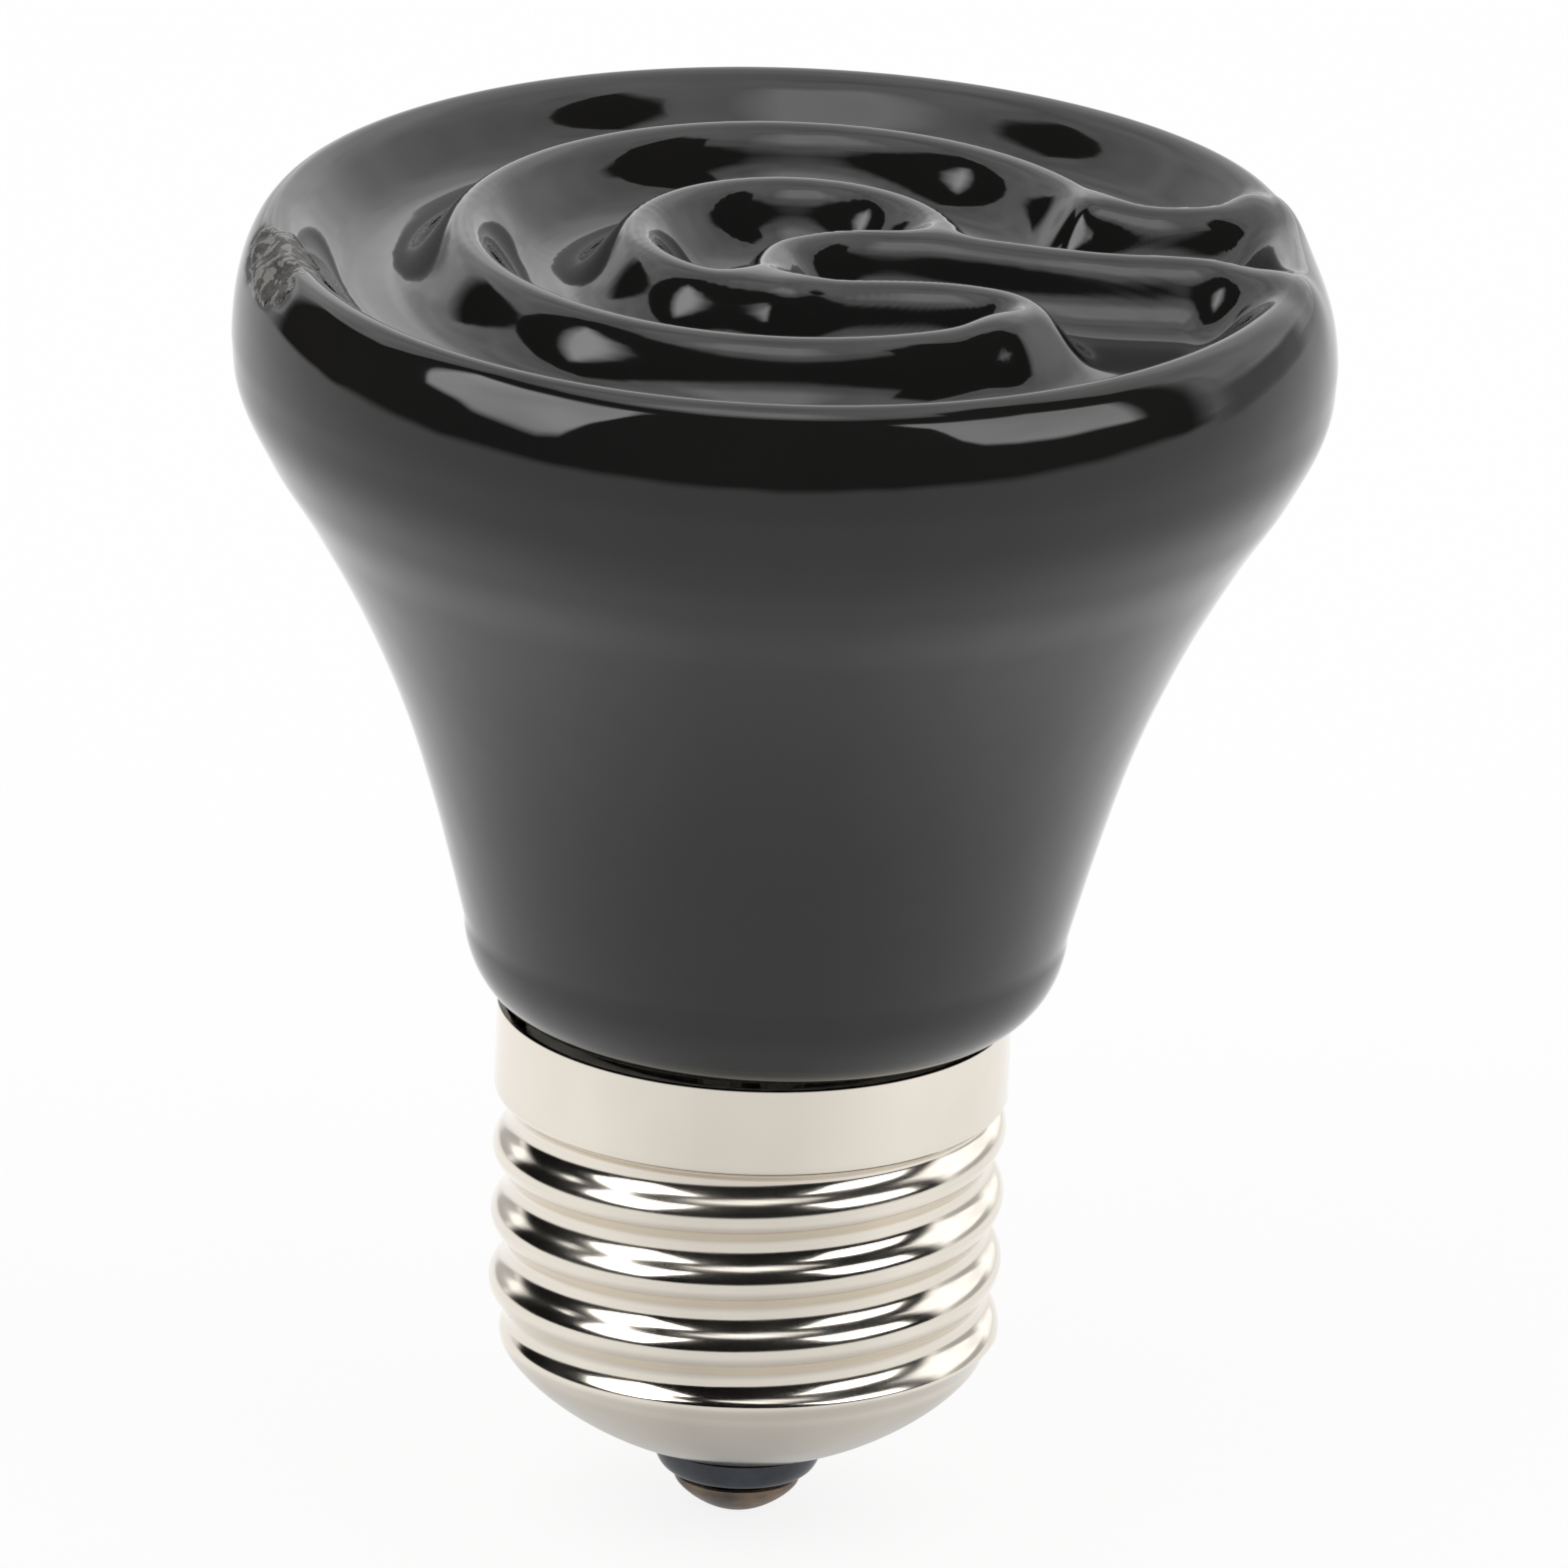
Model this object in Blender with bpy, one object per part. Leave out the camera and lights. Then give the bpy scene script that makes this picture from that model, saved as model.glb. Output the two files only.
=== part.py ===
"""Ceramic heat emitter with a 27 mm Edison screw cap, in metres, +Z up.

The origin is the flat tip of the centre contact. The axis of the cap and of the
bell is Z, the heating face looks up, and the front of the object looks along -Y.
"""

import math

import bmesh
import bpy
from mathutils import Vector
from mathutils.geometry import delaunay_2d_cdt

MM = 0.001

CLEARANCE = 0.3 * MM  # running gap between pieces that touch on the real object

# Screw cap, a right-hand rolled thread in thin nickel-plated sheet.
THREAD_PITCH = 3.629 * MM
THREAD_CREST_RADIUS = 13.08 * MM
THREAD_ROOT_RADIUS = 12.2 * MM
THREAD_CREST_Z = 10.25 * MM  # the lowest crest, at +X
THREAD_TOP_Z = 22.5 * MM
THREAD_BOTTOM_Z = 10.1 * MM
THREAD_FADE = 1.0 * MM
BAND_RADIUS = 13.12 * MM
SHELL_WALL = 0.3 * MM
SHELL_TOP_Z = 27.3 * MM
SHELL_CONE_Z = 9.1 * MM
SHELL_MOUTH_Z = 3.8 * MM
SHELL_MOUTH_RADIUS = 4.4 * MM
SHELL_CONE_FULLNESS = 1.35  # 1 is a straight flank, 2 a quarter of an ellipse
THREAD_RUNOUT_SHARE = 0.25  # how far the wall has swollen where the thread runs out below

# Black glass insulator and the centre contact below it.
INSULATOR_COLLAR_RADIUS = 4.35 * MM
INSULATOR_FOOT_RADIUS = 3.6 * MM
INSULATOR_TOP_Z = 8.0 * MM
INSULATOR_EDGE = 0.35 * MM
INSULATOR_FOOT_FLARE = 0.25 * MM
INSULATOR_THROAT_GAP = 0.65 * MM
INSULATOR_PLUG_LIFT = 0.8 * MM
INSULATOR_PLUG_GAP = 0.25 * MM
CONTACT_RADIUS = 3.2 * MM
CONTACT_HEIGHT = 1.8 * MM
CONTACT_TIP_RADIUS = 1.1 * MM
CONTACT_FULLNESS = 1.3  # as for the shell's cone
CONTACT_EDGE = 0.3 * MM
RIVET_RADIUS = 1.2 * MM
RIVET_HEAD_RADIUS = 2.2 * MM
RIVET_HEAD_HEIGHT = 0.8 * MM
RIVET_HEAD_TAPER = 0.3 * MM

# Cement ring that holds the ceramic spigot in the screw shell.
CEMENT_WALL = 1.1 * MM
CEMENT_BOTTOM_SETBACK = 1.4 * MM
CEMENT_TOP_SETBACK = 0.8 * MM

# Ceramic bell.
SPIGOT_LENGTH = 13.0 * MM
NECK_RADIUS = 15.45 * MM
NECK_ROUNDING = 3.1 * MM
NECK_ROUNDING_HEIGHT = 4.3 * MM
NECK_FULLNESS = 1.85  # as for the shell's cone
HEAD_RADIUS = 28.1 * MM
HEAD_Z = 62.9 * MM
RIM_RADIUS = 25.9 * MM
RIM_Z = 68.85 * MM
RIM_FULLNESS = 0.15 * MM  # the left of the head stands out further than the right
RIM_SWELL = 0.4 * MM  # soft bulge in the side of the rim
RIM_SWELL_LOBE = (30, 40)  # its middle and its spread, degrees
RIM_DENT = 0.6 * MM  # soft hollow in the side of the rim where the channels end
RIM_SAG = 0.6 * MM  # the same hollow seen from above: how far the rim's crest drops
RIM_DENT_LOBE = (8, 15)  # its middle and its spread, degrees
BELL_OFFSET = 0.45 * MM  # the bell sits a little to the right of the cap's axis

# Labyrinth of thin ridges and wide channels on the heating face.
RIDGE_Z = 69.4 * MM
CHANNEL_DEPTH = 3.55 * MM
CHANNEL_HALF = 4.0 * MM
RIDGE_SOFTNESS = 1.2 * MM
RIM_SOFTNESS = 2.6 * MM
JUNCTION_SHARPNESS = 2.6  # higher values leave a tighter hollow where ridges meet
CREST_SOFTNESS = 0.2  # top share of the depth in which the crests are rounded off
OUTER_RIDGE_RADIUS = 16.6 * MM
INNER_RIDGE_RADIUS = 7.9 * MM
INNER_RIDGE_ARC = (13, 270)  # degrees
BAR_RIDGE_Y = -0.9 * MM
BAR_RIDGE_SLOPE = -0.075
BAR_LEFT_X = 0.9 * MM
BAR_FOOT = ((-2.45 * MM, 0.8), (-2.0 * MM, 0.5), (-1.2 * MM, 0.13))  # from the bar's end, share forward
BAR_BEND = 0.48  # the bar turns forward at this share of the gap from the rim's crest inwards
BAR_END = (-10.0, 0.17)  # degrees, share of the gap from the rim's crest inwards
HAIRPIN_X = 9.6 * MM
HAIRPIN_NOSE = (1.6 * MM, -0.2 * MM)  # past the hairpin's ends
HAIRPIN_SHOULDER = (1.2 * MM, -0.5 * MM)  # from the end of the straight run
OUTER_RIDGE_ARC = (22, 310)  # degrees
ROOT_Y = 5.5 * MM
ROOT_RUN = (0.1, 0.36)  # shares of the gap from the outer ridge outwards
ROOT_END = ((15.5, 0.36), (18.5, 0.19))  # degrees, share of the gap from the rim's crest inwards

# Heating coil in its tunnel under the channel floors, and its leads.
COIL_RADIUS = 1.1 * MM
COIL_COVER = 1.0 * MM
COIL_START = 0.6 * MM
COIL_BAR_DROP = 0.5 * MM
COIL_TURN = ((-0.11, -0.4 * MM), (0.2, -2.6 * MM))  # share of the gap outwards, forward of the bar run
COIL_OUTER_ARC = (-36, -336)  # degrees
COIL_RETURN = ((0.43, -1.6 * MM), (0.05, -3.9 * MM))  # share of the gap outwards, forward of the root
COIL_INNER_ARC = (16, 308)  # degrees
LEAD_RADIUS = 0.4 * MM
LEAD_SPACING = 3.2 * MM
SLEEVE_WALL = 0.45 * MM
SLEEVE_SETBACK = 6.0 * MM  # from the top of the bore down to the top of a sleeve
SLEEVE_LIFT = 3.6 * MM  # from the bottom of the spigot to the bottom of a sleeve
BORE_RADIUS = 3.3 * MM
BORE_DEPTH = 9.5 * MM  # from the middle of the coil down to the top of the bore
LEAD_INSERTION = 2.5 * MM
LEAD_STRAIGHT = 1.6 * MM  # upright stretch of a lead below the coil and above a sleeve
LEAD_BEND = 1.2 * MM
LEAD_HOLE_OVERLAP = 3.0 * MM
SOLDER_RADIUS = 1.3 * MM
SOLDER_FLATNESS = 0.5
SOLDER_Z = 12.4 * MM

SEGMENTS = 64
SHELL_SEGMENTS = 32
THREAD_ROWS = 7  # rows of the shell's mesh in each turn of the thread
FINE_STEP = 1.15 * MM
FLANK_STEP = 0.95 * MM
FILL_STEP = 1.2 * MM
FLARE_STEP = 3.2 * MM
COIL_STEP = 2.8 * MM
LEAD_STEP = 3.0 * MM
OVERRUN = 1.0 * MM  # how far a cutter goes past the face that it cuts

# Flare of the bell between neck and head: share of the height, share of the radius.
FLARE = (
    (0.091, 0.059),
    (0.198, 0.132),
    (0.365, 0.267),
    (0.532, 0.446),
    (0.706, 0.682),
    (0.822, 0.863),
    (0.935, 0.985),
)

RIM_GAP = RIM_RADIUS - OUTER_RIDGE_RADIUS
NECK_BOTTOM_Z = SHELL_TOP_Z + CLEARANCE
NECK_Z = NECK_BOTTOM_Z + NECK_ROUNDING_HEIGHT
CEMENT_RADIUS = THREAD_ROOT_RADIUS - SHELL_WALL - CLEARANCE
SPIGOT_RADIUS = CEMENT_RADIUS - CEMENT_WALL - CLEARANCE
SPIGOT_BOTTOM_Z = NECK_BOTTOM_Z - SPIGOT_LENGTH
FLOOR_Z = RIDGE_Z - CHANNEL_DEPTH
TUNNEL_RADIUS = COIL_RADIUS + 1.5 * CLEARANCE
COIL_Z = FLOOR_Z - COIL_COVER - TUNNEL_RADIUS
BORE_TOP_Z = COIL_Z - BORE_DEPTH
SLEEVE_TOP_Z = BORE_TOP_Z - SLEEVE_SETBACK
LEAD_HOLE_RADIUS = LEAD_RADIUS + 1.5 * CLEARANCE


def clear_scene():
    """Remove everything that the start-up file holds."""
    for obj in list(bpy.data.objects):
        bpy.data.objects.remove(obj)


def make_material(name, colour, roughness, metallic=0.0):
    """One Principled material."""
    material = bpy.data.materials.new(name)
    material.use_nodes = True
    shader = material.node_tree.nodes["Principled BSDF"]
    shader.inputs["Base Color"].default_value = (*colour, 1.0)
    shader.inputs["Roughness"].default_value = roughness
    shader.inputs["Metallic"].default_value = metallic
    return material


def add_object(name, mesh_data, material=None, smooth_angle=35):
    """Put a bmesh in the scene as an object, its faces looking out."""
    bmesh.ops.recalc_face_normals(mesh_data, faces=mesh_data.faces)
    mesh = bpy.data.meshes.new(name)
    mesh_data.to_mesh(mesh)
    mesh_data.free()
    mesh.shade_smooth()
    mesh.set_sharp_from_angle(angle=math.radians(smooth_angle))
    obj = bpy.data.objects.new(name, mesh)
    bpy.context.scene.collection.objects.link(obj)
    if material:
        mesh.materials.append(material)
    return obj


def add_cutter(name, mesh_data):
    """Put a bmesh in the scene as a Boolean cutter that isn't part of the object."""
    cutter = add_object(name, mesh_data)
    cutter.hide_render = True
    cutter.display_type = "WIRE"
    return cutter


def cut(target, cutter):
    """Cut one object out of another."""
    modifier = target.modifiers.new(cutter.name, "BOOLEAN")
    modifier.operation = "DIFFERENCE"
    modifier.object = cutter


def arc(centre, radius_x, radius_y, start, end, steps):
    """Points on an ellipse arc, angles in radians, both ends included."""
    points = []
    for step in range(steps + 1):
        angle = start + (end - start) * step / steps
        points.append((centre[0] + radius_x * math.cos(angle), centre[1] + radius_y * math.sin(angle)))
    return points


def smooth_path(points, step):
    """A smooth curve through the points, sampled about every step; points in a line stay straight."""
    slopes = []
    for index, point in enumerate(points):
        before = points[max(index - 1, 0)]
        after = points[min(index + 1, len(points) - 1)]
        near, far = (point - before).length, (after - point).length
        if near and far:
            slopes.append(((point - before) * far / near + (after - point) * near / far) / (near + far))
        else:
            slopes.append((after - before).normalized())
    path = [points[0]]
    for start, end, slope, next_slope in zip(points, points[1:], slopes, slopes[1:]):
        length = (end - start).length
        pieces = max(1, round(length / step))
        for piece in range(1, pieces + 1):
            t = piece / pieces
            path.append(
                start * (2 * t ** 3 - 3 * t * t + 1)
                + end * (3 * t * t - 2 * t ** 3)
                + slope * length * (t ** 3 - 2 * t * t + t)
                + next_slope * length * (t ** 3 - t * t)
            )
    return path


def bridge(mesh_data, lower, upper):
    """Quads between two rings with as many points each."""
    count = len(lower)
    for index in range(count):
        following = (index + 1) % count
        mesh_data.faces.new((lower[index], lower[following], upper[following], upper[index]))


def turned(profile, segments):
    """A solid turned round Z from (radius, height) points; a zero radius closes on the axis."""
    mesh_data = bmesh.new()
    rings = []
    for radius, height in profile:
        if radius < 1e-7:
            rings.append([mesh_data.verts.new((0, 0, height))])
            continue
        ring = []
        for index in range(segments):
            angle = 2 * math.pi * index / segments
            ring.append(mesh_data.verts.new((radius * math.cos(angle), radius * math.sin(angle), height)))
        rings.append(ring)
    closed_loop = len(rings[0]) > 1
    pairs = list(zip(rings, rings[1:]))
    if closed_loop:
        pairs.append((rings[-1], rings[0]))
    for lower, upper in pairs:
        if len(lower) == len(upper):
            bridge(mesh_data, lower, upper)
            continue
        tip, ring = (lower[0], upper) if len(lower) == 1 else (upper[0], lower)
        for index in range(segments):
            mesh_data.faces.new((tip, ring[index], ring[(index + 1) % segments]))
    return mesh_data


def tube_rings(mesh_data, path, radius, sides):
    """Rings of points round a path, each turned as little as possible from the one before."""
    rings = []
    across = None
    for index, point in enumerate(path):
        ahead = path[min(index + 1, len(path) - 1)] - path[max(index - 1, 0)]
        ahead.normalize()
        if across is None:
            across = ahead.orthogonal().normalized()
        across = (across - ahead * across.dot(ahead)).normalized()
        up = ahead.cross(across)
        ring = []
        for side in range(sides):
            angle = 2 * math.pi * side / sides
            offset = across * math.cos(angle) + up * math.sin(angle)
            ring.append(mesh_data.verts.new(point + radius * offset))
        rings.append(ring)
    return rings


def rod(path, radius, sides):
    """A solid round rod along a path."""
    mesh_data = bmesh.new()
    rings = tube_rings(mesh_data, path, radius, sides)
    for lower, upper in zip(rings, rings[1:]):
        bridge(mesh_data, lower, upper)
    mesh_data.faces.new(rings[0])
    mesh_data.faces.new(rings[-1])
    return mesh_data


def sleeve(path, inner_radius, outer_radius, sides):
    """A hollow round tube along a path, open at both ends."""
    mesh_data = bmesh.new()
    outer = tube_rings(mesh_data, path, outer_radius, sides)
    inner = tube_rings(mesh_data, path, inner_radius, sides)
    for rings in (outer, inner):
        for lower, upper in zip(rings, rings[1:]):
            bridge(mesh_data, lower, upper)
    bridge(mesh_data, outer[0], inner[0])
    bridge(mesh_data, outer[-1], inner[-1])
    return mesh_data


def hairpin():
    """The ridge from the straight front run of the inner ridge round to the outer ridge."""
    join_angle = math.radians(OUTER_RIDGE_ARC[1])
    join = Vector((math.cos(join_angle), math.sin(join_angle))) * OUTER_RIDGE_RADIUS
    straight_start = Vector((0, -INNER_RIDGE_RADIUS))
    straight_end = Vector((HAIRPIN_X, -INNER_RIDGE_RADIUS))
    shoulder = straight_end + Vector(HAIRPIN_SHOULDER)
    nose = Vector((max(HAIRPIN_X, join.x), (straight_end.y + join.y) / 2)) + Vector(HAIRPIN_NOSE)
    return smooth_path([straight_start, straight_end, shoulder, nose, join], FINE_STEP)


def bar_ridge_y(x):
    """The straight ridge runs a little forward on its way to the rim."""
    return BAR_RIDGE_Y + BAR_RIDGE_SLOPE * (x - BAR_LEFT_X)


def near_rim(place):
    """A point in plan inside the rim's crest, from its degrees and its share of the gap."""
    degrees, inset = place
    angle = math.radians(degrees)
    return Vector((math.cos(angle), math.sin(angle))) * (RIM_RADIUS - inset * RIM_GAP)


def bar_line():
    """The crest of the straight ridge, from its curved foot on the left to the rim."""
    points = []
    for left, forward in BAR_FOOT:
        y = BAR_RIDGE_Y + forward * (-INNER_RIDGE_RADIUS - BAR_RIDGE_Y)
        points.append(Vector((BAR_LEFT_X + left, y)))
    bend_x = RIM_RADIUS - BAR_BEND * RIM_GAP
    for x in (BAR_LEFT_X, OUTER_RIDGE_RADIUS, bend_x):
        points.append(Vector((x, bar_ridge_y(x))))
    return smooth_path([*points, near_rim(BAR_END)], FINE_STEP)


def root_line(start):
    """The crest from the end of the outer ridge out to the rim."""
    run = [Vector((OUTER_RIDGE_RADIUS + share * RIM_GAP, ROOT_Y)) for share in ROOT_RUN]
    end = [near_rim(place) for place in ROOT_END]
    return smooth_path([start, *run, *end], FINE_STEP)


def ridge_lines():
    """The crest lines of the face in plan, each a list of points; the rim is left out."""
    start, end = (math.radians(degrees) for degrees in OUTER_RIDGE_ARC)
    outer = arc((0, 0), OUTER_RIDGE_RADIUS, OUTER_RIDGE_RADIUS, start, end, 52)
    outer = [Vector(point) for point in outer]
    start, end = (math.radians(degrees) for degrees in INNER_RIDGE_ARC)
    inner = arc((0, 0), INNER_RIDGE_RADIUS, INNER_RIDGE_RADIUS, start, end, 24)
    inner = [Vector(point) for point in inner]
    return [outer, inner, hairpin(), root_line(outer[0]), bar_line()]


def distance_to_line(point, line):
    """Distance in plan from a point to a line of points."""
    nearest = math.inf
    for start, end in zip(line, line[1:]):
        along = end - start
        share = (point - start).dot(along) / along.length_squared
        share = min(1.0, max(0.0, share))
        nearest = min(nearest, (point - start - along * share).length)
    return nearest


def ridge_share(distance, softness):
    """Height of a ridge's flank, from 1 on the crest to 0 on the channel floor."""
    eased = math.sqrt(distance * distance + softness * softness) - softness
    reach = math.sqrt(CHANNEL_HALF * CHANNEL_HALF + softness * softness) - softness
    rest = max(0.0, 1 - eased / reach)
    return rest * rest


def crest_share(share):
    """Rounds off the crests, so that ridges that meet make a soft saddle."""
    start = 1 - CREST_SOFTNESS
    if share < start:
        return share
    return start + CREST_SOFTNESS * math.tanh((share - start) / CREST_SOFTNESS)


def face_height(point, lines):
    """Height of the heating face over a point in plan."""
    angle = math.atan2(point.y, point.x)
    rim_height = RIM_Z - RIM_SAG * lobe(angle, RIM_DENT_LOBE)
    rim_distance = max(0.0, RIM_RADIUS + head_swell(angle, RIM_Z) - point.length)
    rise = (rim_height - FLOOR_Z) * ridge_share(rim_distance, RIM_SOFTNESS)
    total = (rise / CHANNEL_DEPTH) ** JUNCTION_SHARPNESS
    for line in lines:
        share = ridge_share(distance_to_line(point, line), RIDGE_SOFTNESS)
        total += share ** JUNCTION_SHARPNESS
    return FLOOR_Z + CHANNEL_DEPTH * crest_share(total ** (1 / JUNCTION_SHARPNESS))


def lobe(angle, place):
    """A soft bump round the bell: 1 at its middle, from its middle and its spread in degrees."""
    middle, spread = (math.radians(degrees) for degrees in place)
    off = math.remainder(angle - middle, 2 * math.pi) / spread
    return math.exp(-off * off)


def rim_share(height):
    """0 up to the widest ring of the head, 1 at the rim's crest."""
    return min(1.0, max(0.0, (height - HEAD_Z) / (RIM_Z - HEAD_Z)))


def head_swell(angle, height):
    """How far the skin of the head stands out from the plain turned shape."""
    up = min(1.0, max(0.0, (height - NECK_Z) / (HEAD_Z - NECK_Z)))
    rim = RIM_SWELL * lobe(angle, RIM_SWELL_LOBE) - RIM_DENT * lobe(angle, RIM_DENT_LOBE)
    return -RIM_FULLNESS * math.cos(angle) * up ** 3 + rim * rim_share(height)


def crest_lift(angle, lines):
    """How far the rim's crest stands above its plain height, where ridges run into it or it sags."""
    radius = RIM_RADIUS + head_swell(angle, RIM_Z)
    return face_height(Vector((math.cos(angle), math.sin(angle))) * radius, lines) - RIM_Z


def bell_profile():
    """Outside of the bell as (radius, height), from the bottom of the spigot to the rim's crest."""
    neck = []
    for _, height in arc((0, NECK_Z), 0, NECK_ROUNDING_HEIGHT, -math.pi / 2, 0, 5)[:-1]:
        inset = 1 - flank_share((NECK_Z - height) / NECK_ROUNDING_HEIGHT, NECK_FULLNESS)
        neck.append((NECK_RADIUS - NECK_ROUNDING * inset, height))
    flare = [Vector((NECK_RADIUS, NECK_Z))]
    for up, out in FLARE:
        radius = NECK_RADIUS + out * (HEAD_RADIUS - NECK_RADIUS)
        flare.append(Vector((radius, NECK_Z + up * (HEAD_Z - NECK_Z))))
    crown = arc((RIM_RADIUS, HEAD_Z), HEAD_RADIUS - RIM_RADIUS, RIM_Z - HEAD_Z, 0, math.pi / 2, 7)
    curve = smooth_path([*flare, Vector(crown[0])], FLARE_STEP)
    spigot = [(SPIGOT_RADIUS, SPIGOT_BOTTOM_Z), (SPIGOT_RADIUS, NECK_BOTTOM_Z)]
    return [*spigot, *neck, *[(point.x, point.y) for point in curve], *crown[1:]]


def flank_points(lines):
    """Points beside every crest, both sides, left out where another crest is nearer."""
    points = []
    for line in lines:
        for before, after in zip(line, line[2:]):
            across = (after - before).orthogonal().normalized()
            middle = (before + after) / 2
            for side in (-FLANK_STEP, FLANK_STEP):
                point = middle + across * side
                nearest = min(distance_to_line(point, other) for other in lines)
                if nearest > 0.8 * FLANK_STEP and point.length < RIM_RADIUS - FLANK_STEP:
                    points.append(point)
    return points


def fill_points(lines):
    """Points in rings over the channels and the rim, away from the crests and their flanks."""
    points = []
    rings = round(RIM_RADIUS / FILL_STEP)
    for ring in range(rings):
        radius = RIM_RADIUS * (ring + 0.3) / rings
        count = max(5, round(2 * math.pi * radius / (1.25 * FILL_STEP)))
        for index in range(count):
            angle = 2 * math.pi * (index + 0.5 * (ring % 2)) / count
            point = Vector((radius * math.cos(angle), radius * math.sin(angle)))
            if min(distance_to_line(point, line) for line in lines) > 1.35 * FLANK_STEP:
                points.append(point)
    return points


def face_plan(lines, edge):
    """Points and triangles of the face in plan, with an edge along every crest."""
    points = [Vector(point) for point in edge]
    edges = [(index, (index + 1) % len(edge)) for index in range(len(edge))]
    for line in lines:
        first = len(points)
        points.extend(line)
        edges.extend((first + index, first + index + 1) for index in range(len(line) - 1))
    points.extend(flank_points(lines))
    points.extend(fill_points(lines))
    inside_edge = 1
    merge_distance = 0.05 * MM
    found = delaunay_2d_cdt(points, edges, [list(range(len(edge)))], inside_edge, merge_distance)
    return found[0], found[2]


def build_bell(material):
    """The cast and glazed ceramic bell, with its coil tunnel, lead holes and bore."""
    lines = ridge_lines()
    angles = [2 * math.pi * index / SEGMENTS for index in range(SEGMENTS)]
    lifts = [crest_lift(angle, lines) for angle in angles]
    mesh_data = bmesh.new()
    rings = []
    for radius, height in bell_profile():
        ring = []
        for angle, lift in zip(angles, lifts):
            out = radius + head_swell(angle, height)
            top = height + lift * rim_share(height)
            shift = BELL_OFFSET if len(rings) > 1 else 0.0
            ring.append(mesh_data.verts.new((out * math.cos(angle) + shift, out * math.sin(angle), top)))
        rings.append(ring)
    for lower, upper in zip(rings, rings[1:]):
        bridge(mesh_data, lower, upper)
    mesh_data.faces.new(rings[0])

    edge = [vertex.co.xy - Vector((BELL_OFFSET, 0)) for vertex in rings[-1]]
    plan, triangles = face_plan(lines, edge)
    face_vertices = []
    for index, point in enumerate(plan):
        if index < len(edge):
            face_vertices.append(rings[-1][index])
        else:
            height = face_height(point, lines)
            face_vertices.append(mesh_data.verts.new((point.x + BELL_OFFSET, point.y, height)))
    for triangle in triangles:
        mesh_data.faces.new([face_vertices[corner] for corner in triangle])

    bell = add_object("ceramic_body", mesh_data, material)
    start_z = SPIGOT_BOTTOM_Z - OVERRUN
    bore = [(0, start_z), (BORE_RADIUS, start_z), (BORE_RADIUS, BORE_TOP_Z), (0, BORE_TOP_Z)]
    cut(bell, add_cutter("bore_cutter", turned(bore, 24)))
    cut(bell, add_cutter("tunnel_cutter", rod(coil_path(CLEARANCE), TUNNEL_RADIUS, 8)))
    for name, lead_path in (("centre", centre_lead_path()), ("shell", shell_lead_path())):
        cut(bell, add_cutter(name + "_lead_hole_cutter", rod(lead_hole(lead_path), LEAD_HOLE_RADIUS, 8)))
    return bell


def coil_route():
    """Route of the coil in plan: along the bar, round the outer channel, back round the inner one."""
    bar_y = (BAR_RIDGE_Y - INNER_RIDGE_RADIUS) / 2 - COIL_BAR_DROP
    outer_radius = (OUTER_RIDGE_RADIUS + RIM_RADIUS) / 2
    inner_radius = (INNER_RIDGE_RADIUS + OUTER_RIDGE_RADIUS) / 2
    points = [Vector((BAR_LEFT_X + COIL_START, bar_y)), Vector((OUTER_RIDGE_RADIUS / 2, bar_y))]
    for share, forward in COIL_TURN:
        points.append(Vector((OUTER_RIDGE_RADIUS + share * RIM_GAP, bar_y + forward)))
    start, end = (math.radians(degrees) for degrees in COIL_OUTER_ARC)
    points.extend(Vector(point) for point in arc((0, 0), outer_radius, outer_radius, start, end, 40))
    for share, forward in COIL_RETURN:
        points.append(Vector((OUTER_RIDGE_RADIUS + share * RIM_GAP, ROOT_Y + forward)))
    start, end = (math.radians(degrees) for degrees in COIL_INNER_ARC)
    points.extend(Vector(point) for point in arc((0, 0), inner_radius, inner_radius, start, end, 26))
    return points


def coil_path(extra):
    """The coil's route at its depth, longer by a little at both ends."""
    path = smooth_path([point.to_3d() for point in coil_route()], COIL_STEP)
    for point in path:
        point.x += BELL_OFFSET
        point.z = COIL_Z
    first = (path[0] - path[1]).normalized() * extra
    last = (path[-1] - path[-2]).normalized() * extra
    return [path[0] + first, *path[1:-1], path[-1] + last]


def lead_top(side):
    """Where a lead meets the underside of the coil: side -1 is the centre lead, 1 the shell lead."""
    path = coil_path(0)
    end = path[0] if side < 0 else path[-1]
    return Vector((end.x, end.y, COIL_Z - COIL_RADIUS - CLEARANCE))


def lead_x(side):
    return side * LEAD_SPACING / 2


def upper_lead(side):
    """Route of a lead from its sleeve up to the coil, upright at both ends."""
    top = lead_top(side)
    sleeve_start, sleeve_end = sleeve_ends(side)
    below_top = top - Vector((0, 0, LEAD_STRAIGHT))
    turn = Vector(((top.x + sleeve_end.x) / 2, top.y / 2, (below_top.z + BORE_TOP_Z) / 2))
    return [sleeve_start, sleeve_end, sleeve_end + Vector((0, 0, LEAD_STRAIGHT)), turn, below_top, top]


def lead_hole(lead_path):
    """Route of the hole for a lead, from inside the bore into the coil's tunnel."""
    start_z = BORE_TOP_Z - LEAD_HOLE_OVERLAP
    path = [point for point in lead_path if point.z > start_z]
    return [*path, Vector((path[-1].x, path[-1].y, COIL_Z))]


def sleeve_ends(side):
    """The straight stretch of a lead in the bore, where an insulating sleeve covers it."""
    bottom = Vector((lead_x(side), 0, SPIGOT_BOTTOM_Z + SLEEVE_LIFT))
    return bottom, Vector((lead_x(side), 0, SLEEVE_TOP_Z))


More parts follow.
